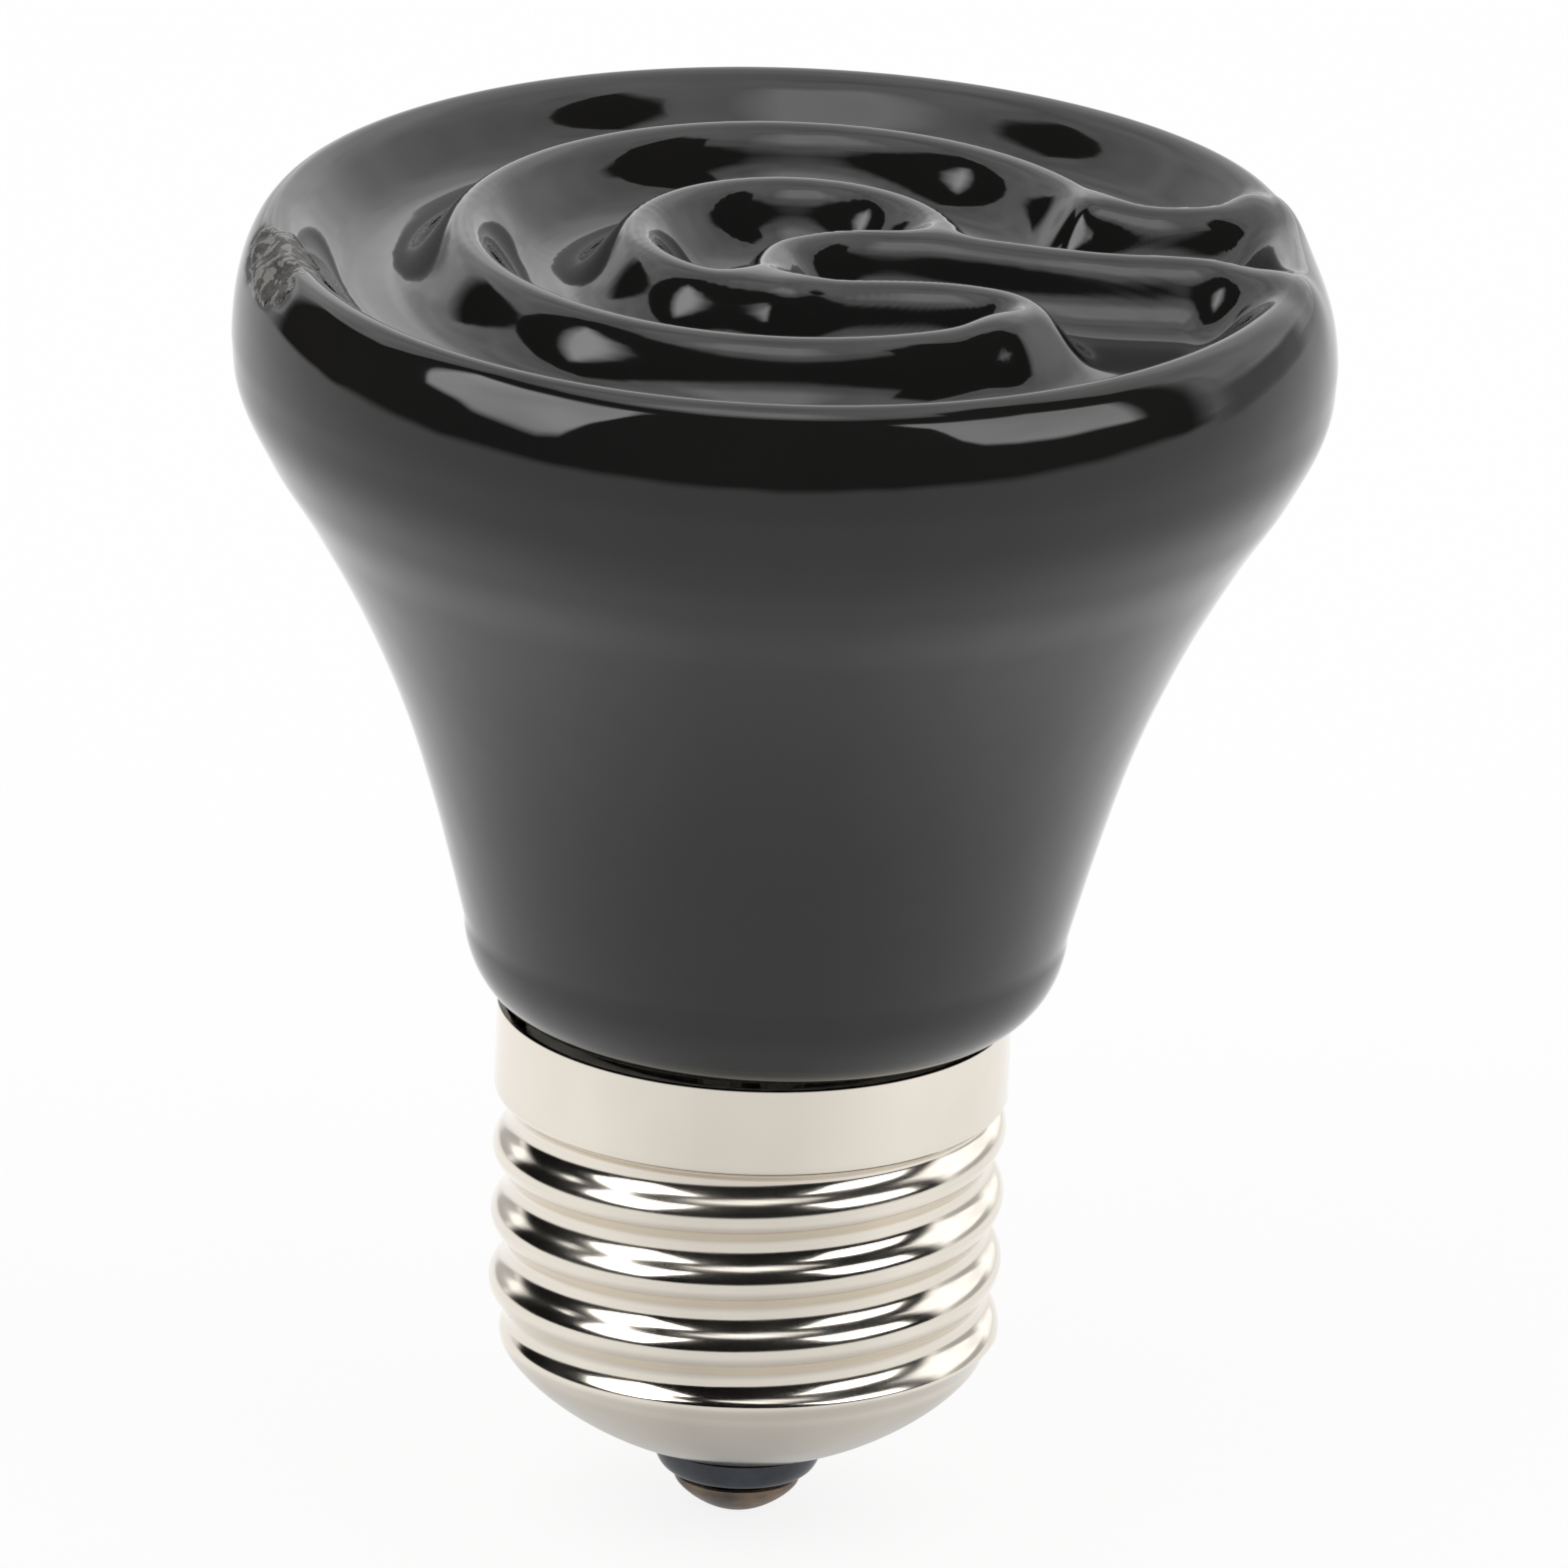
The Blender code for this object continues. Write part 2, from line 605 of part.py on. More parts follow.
def centre_lead_path():
    """From the rivet of the centre contact up the bore to the coil."""
    rivet_top = INSULATOR_TOP_Z + CLEARANCE + RIVET_HEAD_HEIGHT
    lower = [
        Vector((0, 0, rivet_top - LEAD_INSERTION + CLEARANCE)),
        Vector((0, 0, rivet_top + LEAD_BEND)),
        Vector((0, 0, rivet_top + 2 * LEAD_BEND)),
        Vector((lead_x(-1), 0, SPIGOT_BOTTOM_Z + LEAD_BEND)),
        Vector((lead_x(-1), 0, SPIGOT_BOTTOM_Z + 2 * LEAD_BEND)),
    ]
    return smooth_path([*lower, *upper_lead(-1)], LEAD_STEP)


def shell_lead_path():
    """From the solder on the screw shell in under the spigot and up the bore to the coil."""
    solder = solder_centre()
    lower = [
        solder,
        solder - Vector((2 * SOLDER_RADIUS, 0, LEAD_BEND / 4)),
        Vector(((solder.x + lead_x(1)) / 2, 0, solder.z - LEAD_BEND / 2)),
        Vector((lead_x(1) + LEAD_BEND / 2, 0, SPIGOT_BOTTOM_Z - LEAD_BEND)),
        Vector((lead_x(1), 0, SPIGOT_BOTTOM_Z + LEAD_BEND)),
        Vector((lead_x(1), 0, SPIGOT_BOTTOM_Z + 2 * LEAD_BEND)),
    ]
    return smooth_path([*lower, *upper_lead(1)], LEAD_STEP)


def solder_centre():
    """Middle of the solder lump, seated against the inside of the screw shell's root."""
    inside = THREAD_ROOT_RADIUS - SHELL_WALL - CLEARANCE
    return Vector((inside - SOLDER_FLATNESS * SOLDER_RADIUS, 0, SOLDER_Z))


def thread_wave(turns):
    """Round crests and roots of equal arcs over turns of the thread: 1 on a crest, 0 in a root."""
    half = THREAD_PITCH / 2
    depth = THREAD_CREST_RADIUS - THREAD_ROOT_RADIUS
    arc_radius = (half * half + depth * depth) / (4 * depth)
    off = abs(turns - round(turns)) * THREAD_PITCH
    near = min(off, half - off)
    bow = (arc_radius - math.sqrt(arc_radius * arc_radius - near * near)) / depth
    return 1 - bow if off < half / 2 else bow


def thread_radius(height, angle):
    """Outside of the rolled thread over a height and an angle."""
    wave = thread_wave((height - THREAD_CREST_Z) / THREAD_PITCH - angle / (2 * math.pi))
    rise = min(1.0, max(0.0, (height - THREAD_BOTTOM_Z + THREAD_FADE) / THREAD_FADE))
    swell = (THREAD_CREST_RADIUS - THREAD_ROOT_RADIUS) * THREAD_RUNOUT_SHARE
    plain = THREAD_ROOT_RADIUS + swell * (1 - rise)
    return plain + (THREAD_CREST_RADIUS - plain) * wave * rise


def flank_share(sink, fullness):
    """How far out a rounded flank is, from 1 at its shoulder, sink 0, to 0 at its foot, sink 1."""
    return max(0.0, 1 - sink ** fullness) ** (1 / fullness)


def cone_radius(height):
    """Outside of the shell's rounded cone over a height between its mouth and the thread."""
    reach = thread_radius(SHELL_CONE_Z, 0) - SHELL_MOUTH_RADIUS
    sink = min(1.0, max(0.0, (SHELL_CONE_Z - height) / (SHELL_CONE_Z - SHELL_MOUTH_Z)))
    return SHELL_MOUTH_RADIUS + reach * flank_share(sink, SHELL_CONE_FULLNESS)


def shell_outside():
    """Rows of the screw shell from its mouth up: (height, function from angle to radius)."""
    rows = []
    depth = SHELL_CONE_Z - SHELL_MOUTH_Z
    for _, height in arc((0, SHELL_CONE_Z), 0, depth, -math.pi / 2, 0, 7)[:-1]:
        rows.append((height, lambda angle, height=height: cone_radius(height)))
    steps = round((THREAD_TOP_Z - SHELL_CONE_Z) / (THREAD_PITCH / THREAD_ROWS))
    for step in range(steps + 1):
        height = SHELL_CONE_Z + (THREAD_TOP_Z - SHELL_CONE_Z) * step / steps
        rows.append((height, lambda angle, height=height: thread_radius(height, angle)))
    for height in (THREAD_TOP_Z + THREAD_FADE, SHELL_TOP_Z - SHELL_WALL, SHELL_TOP_Z):
        rows.append((height, lambda angle: BAND_RADIUS))
    return rows


def build_screw_shell(material):
    """The thin rolled shell of the cap: thread, band above it and cone below it."""
    mesh_data = bmesh.new()
    rows = shell_outside()
    outer = []
    inner = []
    for index, (height, radius_at) in enumerate(rows):
        before = rows[max(index - 1, 0)]
        after = rows[min(index + 1, len(rows) - 1)]
        outer_ring = []
        inner_ring = []
        for segment in range(SHELL_SEGMENTS):
            angle = 2 * math.pi * segment / SHELL_SEGMENTS
            radius = radius_at(angle)
            along = Vector((after[1](angle) - before[1](angle), after[0] - before[0])).normalized()
            inward = Vector((-along.y, along.x)) * SHELL_WALL
            if index in (0, len(rows) - 1):
                inward = Vector((-SHELL_WALL, 0)) if index else Vector((0, SHELL_WALL))
            across = Vector((math.cos(angle), math.sin(angle)))
            outer_ring.append(mesh_data.verts.new((*(across * radius), height)))
            inner_ring.append(mesh_data.verts.new((*(across * (radius + inward.x)), height + inward.y)))
        outer.append(outer_ring)
        inner.append(inner_ring)
    for rings in (outer, inner):
        for lower, upper in zip(rings, rings[1:]):
            bridge(mesh_data, lower, upper)
    bridge(mesh_data, outer[0], inner[0])
    bridge(mesh_data, outer[-1], inner[-1])
    return add_object("screw_shell", mesh_data, material, smooth_angle=50)


def build_cement(material):
    """The cement ring between the ceramic spigot and the screw shell."""
    inner = SPIGOT_RADIUS + CLEARANCE
    bottom = SPIGOT_BOTTOM_Z + CEMENT_BOTTOM_SETBACK
    top = SHELL_TOP_Z - CEMENT_TOP_SETBACK
    profile = [(CEMENT_RADIUS, bottom), (CEMENT_RADIUS, top), (inner, top), (inner, bottom)]
    return add_object("cap_cement", turned(profile, 36), material)


def build_insulator(material):
    """The black glass insulator: foot and collar below the shell, plug inside its cone."""
    foot_z = CONTACT_HEIGHT + CLEARANCE
    collar_z = SHELL_MOUTH_Z - CLEARANCE
    throat = SHELL_MOUTH_RADIUS - INSULATOR_THROAT_GAP
    plug_z = SHELL_MOUTH_Z + SHELL_WALL + INSULATOR_PLUG_LIFT
    backset = SHELL_WALL + INSULATOR_PLUG_GAP
    plug = []
    for step in range(1, 4):
        height = plug_z + (INSULATOR_TOP_Z - plug_z) * step / 3
        plug.append((cone_radius(height - backset) - backset, height))
    hole = RIVET_RADIUS + CLEARANCE
    profile = [
        (hole, foot_z),
        (INSULATOR_FOOT_RADIUS, foot_z),
        (INSULATOR_FOOT_RADIUS + INSULATOR_FOOT_FLARE, foot_z + INSULATOR_FOOT_FLARE),
        (INSULATOR_COLLAR_RADIUS, collar_z - INSULATOR_EDGE),
        (INSULATOR_COLLAR_RADIUS, collar_z),
        (throat, collar_z),
        (throat, plug_z),
        *plug,
        (hole, INSULATOR_TOP_Z),
    ]
    return add_object("cap_insulator", turned(profile, 36), material)


def build_contact(material):
    """The centre contact: a domed plate and the rivet that holds it through the insulator."""
    head_z = INSULATOR_TOP_Z + CLEARANCE
    hole = LEAD_RADIUS + CLEARANCE
    hole_z = head_z + RIVET_HEAD_HEIGHT - LEAD_INSERTION
    edge_z = CONTACT_HEIGHT - CONTACT_EDGE
    dome = []
    for _, height in arc((0, edge_z), 0, edge_z, -math.pi / 2, 0, 5):
        out = flank_share(1 - height / edge_z, CONTACT_FULLNESS)
        dome.append((CONTACT_TIP_RADIUS + (CONTACT_RADIUS - CONTACT_TIP_RADIUS) * out, height))
    profile = [
        (0, 0),
        *dome,
        (CONTACT_RADIUS, CONTACT_HEIGHT),
        (RIVET_RADIUS, CONTACT_HEIGHT),
        (RIVET_RADIUS, head_z),
        (RIVET_HEAD_RADIUS, head_z),
        (RIVET_HEAD_RADIUS - RIVET_HEAD_TAPER, head_z + RIVET_HEAD_HEIGHT),
        (hole, head_z + RIVET_HEAD_HEIGHT),
        (hole, hole_z),
        (0, hole_z),
    ]
    return add_object("centre_contact", turned(profile, 28), material)


def build_solder(material):
    """The lump of solder that joins the shell lead to the inside of the screw shell."""
    mesh_data = bmesh.new()
    bmesh.ops.create_icosphere(mesh_data, subdivisions=2, radius=SOLDER_RADIUS)
    for vertex in mesh_data.verts:
        vertex.co.x *= SOLDER_FLATNESS
        vertex.co += solder_centre()
    solder = add_object("shell_solder", mesh_data, material)
    start, end = shell_lead_path()[:2]
    ahead = (end - start).normalized()
    hole = rod([start - ahead * CLEARANCE, end + ahead * OVERRUN], LEAD_RADIUS + CLEARANCE, 8)
    cut(solder, add_cutter("solder_hole_cutter", hole))
    return solder


def main():
    clear_scene()
    ceramic = make_material("black_glaze", (0.012, 0.012, 0.013), 0.12)
    nickel = make_material("nickel_plate", (0.72, 0.69, 0.64), 0.16, 1.0)
    glass = make_material("black_glass", (0.01, 0.01, 0.012), 0.2)
    cement = make_material("cap_cement", (0.62, 0.58, 0.5), 0.9)
    resistance_wire = make_material("resistance_wire", (0.36, 0.34, 0.33), 0.4, 1.0)
    lead_wire = make_material("lead_wire", (0.6, 0.58, 0.55), 0.3, 1.0)
    fibre = make_material("sleeve_fibre", (0.8, 0.79, 0.74), 0.8)
    tin = make_material("solder", (0.66, 0.66, 0.67), 0.3, 1.0)

    build_bell(ceramic)
    add_object("heating_coil", rod(coil_path(-CLEARANCE), COIL_RADIUS, 8), resistance_wire)
    add_object("centre_lead", rod(centre_lead_path(), LEAD_RADIUS, 6), lead_wire)
    add_object("shell_lead", rod(shell_lead_path(), LEAD_RADIUS, 6), lead_wire)
    bore = LEAD_RADIUS + CLEARANCE
    for name, side in (("centre_lead_sleeve", -1), ("shell_lead_sleeve", 1)):
        add_object(name, sleeve(sleeve_ends(side), bore, bore + SLEEVE_WALL, 10), fibre)
    build_cement(cement)
    build_screw_shell(nickel)
    build_insulator(glass)
    build_contact(nickel)
    build_solder(tin)


main()
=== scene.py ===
"""Looks of the ceramic heat emitter: glazed bell, nickel screw cap, studio and camera."""

from functools import cache
import math

import bpy
import numpy as np
from mathutils import Matrix, Vector, noise


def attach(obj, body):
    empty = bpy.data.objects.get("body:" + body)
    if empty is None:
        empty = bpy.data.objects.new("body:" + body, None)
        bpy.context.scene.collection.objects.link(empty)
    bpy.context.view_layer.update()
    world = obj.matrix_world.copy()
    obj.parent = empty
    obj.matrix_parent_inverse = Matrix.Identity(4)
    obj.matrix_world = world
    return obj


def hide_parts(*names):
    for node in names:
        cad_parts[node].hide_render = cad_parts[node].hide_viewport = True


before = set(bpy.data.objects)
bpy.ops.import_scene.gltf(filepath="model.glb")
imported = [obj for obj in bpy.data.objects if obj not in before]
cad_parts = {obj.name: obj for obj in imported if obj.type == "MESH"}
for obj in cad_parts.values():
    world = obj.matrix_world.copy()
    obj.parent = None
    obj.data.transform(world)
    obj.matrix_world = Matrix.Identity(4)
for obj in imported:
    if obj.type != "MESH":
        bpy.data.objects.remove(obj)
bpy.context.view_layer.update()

MM = 0.001

CLEARANCE = 0.3 * MM  # gap between pieces that touch on the real object

# Bell, in the CAD's own sizes. The flare is given as shares of its height and of its radius
BELL_OFFSET = 0.45 * MM
SPIGOT_RADIUS = 10.2 * MM
NECK_BOTTOM_Z = 27.6 * MM
NECK_RADIUS = 15.45 * MM
NECK_ROUNDING = 3.1 * MM
NECK_ROUNDING_HEIGHT = 4.3 * MM
NECK_FULLNESS = 1.85
NECK_Z = NECK_BOTTOM_Z + NECK_ROUNDING_HEIGHT
HEAD_RADIUS = 28.1 * MM
HEAD_Z = 62.9 * MM
RIM_RADIUS = 25.9 * MM
RIM_Z = 68.85 * MM
RIM_FULLNESS = 0.15 * MM
RIM_SWELL = 0.4 * MM
RIM_SWELL_LOBE = (30, 40)  # its middle and its spread, degrees
RIM_DENT = 0.6 * MM
RIM_SAG = 0.6 * MM
RIM_DENT_LOBE = (8, 15)
FLARE = (
    (0.091, 0.059),
    (0.198, 0.132),
    (0.365, 0.267),
    (0.532, 0.446),
    (0.706, 0.682),
    (0.822, 0.863),
    (0.935, 0.985),
)

# Labyrinth of thin ridges and wide channels on the heating face
RIDGE_Z = 69.4 * MM
CHANNEL_DEPTH = 3.55 * MM
FLOOR_Z = RIDGE_Z - CHANNEL_DEPTH
CHANNEL_HALF = 4.0 * MM
RIDGE_SOFTNESS = 1.2 * MM
RIM_SOFTNESS = 2.6 * MM
JUNCTION_SHARPNESS = 2.6  # higher values leave a tighter hollow where ridges meet
CREST_SOFTNESS = 0.2  # top share of the depth in which the crests are rounded off
OUTER_RIDGE_RADIUS = 16.6 * MM
OUTER_RIDGE_ARC = (22, 310)  # degrees
INNER_RIDGE_RADIUS = 7.9 * MM
INNER_RIDGE_ARC = (13, 270)  # degrees
BAR_RIDGE_Y = -0.9 * MM
BAR_RIDGE_SLOPE = -0.075
BAR_LEFT_X = 0.9 * MM
BAR_FOOT = ((-2.45 * MM, 0.8), (-2.0 * MM, 0.5), (-1.2 * MM, 0.13))  # from the bar's end, share forward
BAR_BEND = 0.48  # the bar turns forward at this share of the gap from the rim's crest inwards
BAR_END = (-10.0, 0.17)  # degrees, share of the gap from the rim's crest inwards
HAIRPIN_X = 9.6 * MM
HAIRPIN_NOSE = (1.6 * MM, -0.2 * MM)  # past the hairpin's ends
HAIRPIN_SHOULDER = (1.2 * MM, -0.5 * MM)  # from the end of the straight run
ROOT_Y = 5.5 * MM
ROOT_RUN = (0.1, 0.36)  # shares of the gap from the outer ridge outwards
ROOT_END = ((15.5, 0.36), (18.5, 0.19))  # degrees, share of the gap from the rim's crest inwards
RIM_GAP = RIM_RADIUS - OUTER_RIDGE_RADIUS
LINE_STEP = 0.4 * MM
FACE_GRID = 0.25 * MM
FACE_BLUR = 0.45 * MM  # how far the glaze softens the cast face

# Screw cap
THREAD_PITCH = 3.629 * MM
THREAD_CREST_RADIUS = 13.08 * MM
THREAD_ROOT_RADIUS = 12.2 * MM
THREAD_DEPTH = THREAD_CREST_RADIUS - THREAD_ROOT_RADIUS
THREAD_CREST_Z = 10.25 * MM
THREAD_TOP_Z = 22.5 * MM
THREAD_BOTTOM_Z = 10.1 * MM
THREAD_FADE = 1.0 * MM
THREAD_RUNOUT_SHARE = 0.25
THREAD_ARC_SHARE = 0.6  # the rest of the thread's wave is a sine
BAND_RADIUS = 13.12 * MM
BAND_EDGE = 0.4 * MM  # the band starts this far below the thread's top
BAND_BLEND = 0.9 * MM
SHELL_WALL = 0.3 * MM
SHELL_TOP_Z = 27.3 * MM
SHELL_CONE_Z = 9.1 * MM
SHELL_MOUTH_Z = 3.8 * MM
SHELL_MOUTH_RADIUS = 4.4 * MM
SHELL_CONE_FULLNESS = 1.35

# Glass insulator and contact
INSULATOR_COLLAR_RADIUS = 4.35 * MM
INSULATOR_FOOT_RADIUS = 3.6 * MM
INSULATOR_FOOT_Z = 2.1 * MM
INSULATOR_FULLNESS = 1.7
INSULATOR_THROAT_GAP = 0.65 * MM
INSULATOR_PLUG_RADIUS = 5.5 * MM
INSULATOR_THROAT_Z = 5.0 * MM
INSULATOR_PLUG_Z = 6.4 * MM
INSULATOR_TOP_Z = 8.0 * MM
CONTACT_RADIUS = 3.2 * MM
CONTACT_HEIGHT = 1.8 * MM
CONTACT_TIP_RADIUS = 1.1 * MM
CONTACT_FULLNESS = 1.3
CONTACT_EDGE = 0.3 * MM
CONTACT_BEVEL = 0.1 * MM
RIVET_RADIUS = 1.2 * MM
RIVET_HEAD_Z = 8.3 * MM
RIVET_HEAD_RADIUS = 2.2 * MM
RIVET_HEAD_HEIGHT = 0.8 * MM
RIVET_HEAD_TAPER = 0.3 * MM

# Unevenness of the glaze: depth and width of its soft waves, and their share on the face
GLAZE_WAVES = ((0.035 * MM, 6.5 * MM), (0.016 * MM, 1.9 * MM))
FACE_WAVE_SHARE = 0.5

# Scar in the glaze on the left of the rim, an uneven oval seen from the side
SCAR_PLACE = Vector((-26.1, -5.6, 68.0)) * MM
SCAR_SIZE = Vector((2.4, 3.4, 1.0)) * MM
SCAR_DEPTH = 0.5 * MM
SCAR_GRAIN = 1.1 * MM
SCAR_GRAIN_MEAN = 0.5
SCAR_GRAIN_SWING = 0.8
SCAR_EDGE = 0.5
SCAR_STAIN_REACH = 1.35
SCAR_STAIN_SHARPNESS = 4.0

# Finishes: the two colours, and the two roughnesses, between which each one drifts
GLAZE_COLOURS = ((0.0088, 0.0088, 0.0086), (0.0108, 0.0104, 0.0098))
GLAZE_ROUGHNESS = (0.03, 0.06)
DUST_COLOUR = (0.16, 0.155, 0.15)
DUST_SCALE = 330
DUST_SIZE = 0.028
SCAR_COLOUR = (0.03, 0.026, 0.023)
SCAR_CRUMB_COLOUR = (0.15, 0.14, 0.13)
SCAR_CRUMB_LEVEL = 0.54
SCAR_ROUGHNESS = 0.55
SCAR_RELIEF = 90.0
FINE_RELIEF = 0.004 * MM
ROUGH_RELIEF = 0.02 * MM
NICKEL_COLOURS = ((0.74, 0.69, 0.61), (0.79, 0.73, 0.65))
NICKEL_ROUGHNESS = (0.10, 0.18)
GLASS_COLOURS = ((0.026, 0.031, 0.04), (0.042, 0.049, 0.062))
GLASS_ROUGHNESS = (0.14, 0.24)
CONTACT_COLOURS = ((0.10, 0.10, 0.11), (0.34, 0.25, 0.18))
CONTACT_ROUGHNESS = (0.2, 0.4)
COIL_COLOURS = ((0.16, 0.14, 0.13), (0.28, 0.25, 0.23))
LEAD_COLOURS = ((0.5, 0.48, 0.45), (0.62, 0.6, 0.56))
SLEEVE_COLOURS = ((0.74, 0.73, 0.68), (0.86, 0.85, 0.8))
CEMENT_COLOURS = ((0.52, 0.48, 0.4), (0.68, 0.64, 0.56))
SOLDER_COLOURS = ((0.52, 0.52, 0.53), (0.7, 0.7, 0.71))

# Share of a noise's range that spreads from a low to a high value or colour
VALUE_SPREAD = (0.3, 0.7)
COLOUR_SPREAD = (0.35, 0.65)

# Fineness of the meshes
BELL_SEGMENTS = 360
BELL_STEP = 0.5 * MM
OUTER_RIDGE_STEPS = 200
INNER_RIDGE_STEPS = 100
NECK_STEPS = 24
CROWN_STEPS = 24
FACE_RINGS = 100
SHELL_SEGMENTS = 224
SHELL_STEP = 0.13 * MM
CONE_STEPS = 36
TURNED_SEGMENTS = 160
ROUNDED_STEPS = 20
CARD_COLUMNS = 120
CARD_ROWS = 24

# Plain studio: light from all round, and lamps as place and size in metres, and brightness
WORLD_LEVEL = 0.95
LAMPS = (
    ("key_light", (-0.6, -0.7, 1.0), 0.6, 1.2),
    ("fill_light", (0.8, -0.5, 0.7), 0.6, 0.8),
)
FLOOR_HALF = 3.0
FLOOR_PAINT = 0.95
FLOOR_WHITE_SHARE = 0.85  # the rest of the floor takes the light and the object's shadow

# The floor in reflections, with painted light and shade: its brightness by share of the reach, a painted
# shadow under the object, and its painted light gain towards the sides, which sets in over a range of
# degrees from the camera's side
FLOOR_REACH = 0.4
FLOOR_PAINTED_SHADE_TONES = (
    (0.0, 0.42), (0.035, 0.52), (0.065, 0.82), (0.1, 0.85), (0.125, 0.8),
    (0.18, 0.84), (0.42, 0.82), (0.75, 0.72), (1.0, 0.71),
)
FLOOR_PAINTED_SIDE_LIGHT = 1.28
FLOOR_SIDE_TURN = (20, 70)

# Cards that only reflections show: lower edge and upper edge as (azimuth, elevation) in degrees seen
# from the head, with azimuth 0 on the camera's side, then radius in metres, brightness and softness
DARK_WALL_TOP = (
    (-132, 27), (-102, 32), (-98, 58), (-76, 60), (-70, 59),
    (50, 59), (54, 66), (82, 68), (88, 44), (98, 36),
)
LEFT_WINDOW_FOOT = ((-88, 35), (-80, 15), (-70, 12), (-66, 9), (-50, 6), (-46, 8), (-42, 18), (-31, 46))
LEFT_WINDOW_TOP = ((-88, 47), (-60, 47), (-31, 47))
RIGHT_WINDOW_FOOT = ((27, 45), (34, 36), (38, 20), (42, 15), (50, 12), (80, 9))
RIGHT_WINDOW_TOP = ((27, 46), (60, 42), (80, 30))
UPPER_GLOW_FOOT = ((-132, 62), (98, 62), (101, 12), (228, 12))
STUDIO_CARDS = (
    ("tent", ((-180, -1), (180, -1)), ((-180, 90), (180, 90)), 1.4, 1.36, 0.0),
    ("upper_glow", UPPER_GLOW_FOOT, ((-132, 90), (228, 90)), 0.7, 1.6, 0.1),
    ("left_shade", ((-160, -8), (-130, -8)), ((-160, 9), (-130, 9)), 0.6, 0.6, 0.2),
    ("right_shade", ((96, -8), (140, -8)), ((96, 9), (140, 9)), 0.6, 0.55, 0.2),
    ("dark_wall", ((-132, -7), (98, -5)), DARK_WALL_TOP, 0.52, 0.0, 0.03),
    ("overhead_box", ((-60, 60), (30, 60)), ((-60, 80), (30, 80)), 0.51, 3.2, 0.25),
    ("left_window", LEFT_WINDOW_FOOT, LEFT_WINDOW_TOP, 0.5, 4.4, 0.1),
    ("right_window", RIGHT_WINDOW_FOOT, RIGHT_WINDOW_TOP, 0.5, 3.5, 0.08),
)
CARD_CLOTH = (0.8, 1.2)  # a card's brightness drifts between these shares of its own

# Camera of the photograph
CAMERA_ELEVATION = math.radians(20)
CAMERA_DISTANCE = 1.9
CAMERA_ROLL = math.radians(2.17)
CAMERA_LENS = 857.35
CAMERA_TARGET = Vector((1.09, 0, 39.2)) * MM


def smooth_path(points, step):
    """A smooth curve through the points, sampled about every step; points in a line stay straight."""
    slopes = []
    for index, point in enumerate(points):
        before = points[max(index - 1, 0)]
        after = points[min(index + 1, len(points) - 1)]
        near, far = (point - before).length, (after - point).length
        if near and far:
            slopes.append(((point - before) * far / near + (after - point) * near / far) / (near + far))
        else:
            slopes.append((after - before).normalized())
    path = [points[0]]
    for start, end, slope, next_slope in zip(points, points[1:], slopes, slopes[1:]):
        length = (end - start).length
        pieces = max(1, round(length / step))
        for piece in range(1, pieces + 1):
            t = piece / pieces
            path.append(
                start * (2 * t ** 3 - 3 * t * t + 1)
                + end * (3 * t * t - 2 * t ** 3)
                + slope * length * (t ** 3 - 2 * t * t + t)
                + next_slope * length * (t ** 3 - t * t)
            )
    return path


def arc(radius, start, end, steps):
    """Points in plan on a circle round the bell's axis, angles in degrees."""
    points = []
    for step in range(steps + 1):
        angle = math.radians(start + (end - start) * step / steps)
        points.append(Vector((radius * math.cos(angle), radius * math.sin(angle))))
    return points


def flank_share(sink, fullness):
    """How far out a rounded flank is, from 1 at its shoulder, sink 0, to 0 at its foot, sink 1."""
    return (1 - sink ** fullness) ** (1 / fullness)


def near_rim(place):
    """A point in plan inside the rim's crest, from its degrees and its share of the gap."""
    degrees, inset = place
    angle = math.radians(degrees)
    return Vector((math.cos(angle), math.sin(angle))) * (RIM_RADIUS - inset * RIM_GAP)


def bar_ridge_y(x):
    """The straight ridge runs a little forward on its way to the rim."""
    return BAR_RIDGE_Y + BAR_RIDGE_SLOPE * (x - BAR_LEFT_X)


def hairpin_line():
    """The crest from the straight front run of the inner ridge round to the outer ridge."""
    join = arc(OUTER_RIDGE_RADIUS, OUTER_RIDGE_ARC[1], OUTER_RIDGE_ARC[1], 1)[0]
    straight_start = Vector((0, -INNER_RIDGE_RADIUS))
    straight_end = Vector((HAIRPIN_X, -INNER_RIDGE_RADIUS))
    shoulder = straight_end + Vector(HAIRPIN_SHOULDER)
    nose = Vector((max(HAIRPIN_X, join.x), (straight_end.y + join.y) / 2)) + Vector(HAIRPIN_NOSE)
    return smooth_path([straight_start, straight_end, shoulder, nose, join], LINE_STEP)


def bar_line():
    """The crest of the straight ridge, from its curved foot on the left to the rim."""
    points = []
    for left, forward in BAR_FOOT:
        y = BAR_RIDGE_Y + forward * (-INNER_RIDGE_RADIUS - BAR_RIDGE_Y)
        points.append(Vector((BAR_LEFT_X + left, y)))
    for x in (BAR_LEFT_X, OUTER_RIDGE_RADIUS, RIM_RADIUS - BAR_BEND * RIM_GAP):
        points.append(Vector((x, bar_ridge_y(x))))
    return smooth_path([*points, near_rim(BAR_END)], LINE_STEP)


def root_line(start):
    """The crest from the end of the outer ridge out to the rim."""
    run = [Vector((OUTER_RIDGE_RADIUS + share * RIM_GAP, ROOT_Y)) for share in ROOT_RUN]
    end = [near_rim(place) for place in ROOT_END]
    return smooth_path([start, *run, *end], LINE_STEP)


def ridge_lines():
    """The crest lines of the face in plan; the rim is left out."""
    outer = arc(OUTER_RIDGE_RADIUS, *OUTER_RIDGE_ARC, OUTER_RIDGE_STEPS)
    inner = arc(INNER_RIDGE_RADIUS, *INNER_RIDGE_ARC, INNER_RIDGE_STEPS)
    return [outer, inner, hairpin_line(), root_line(outer[0]), bar_line()]


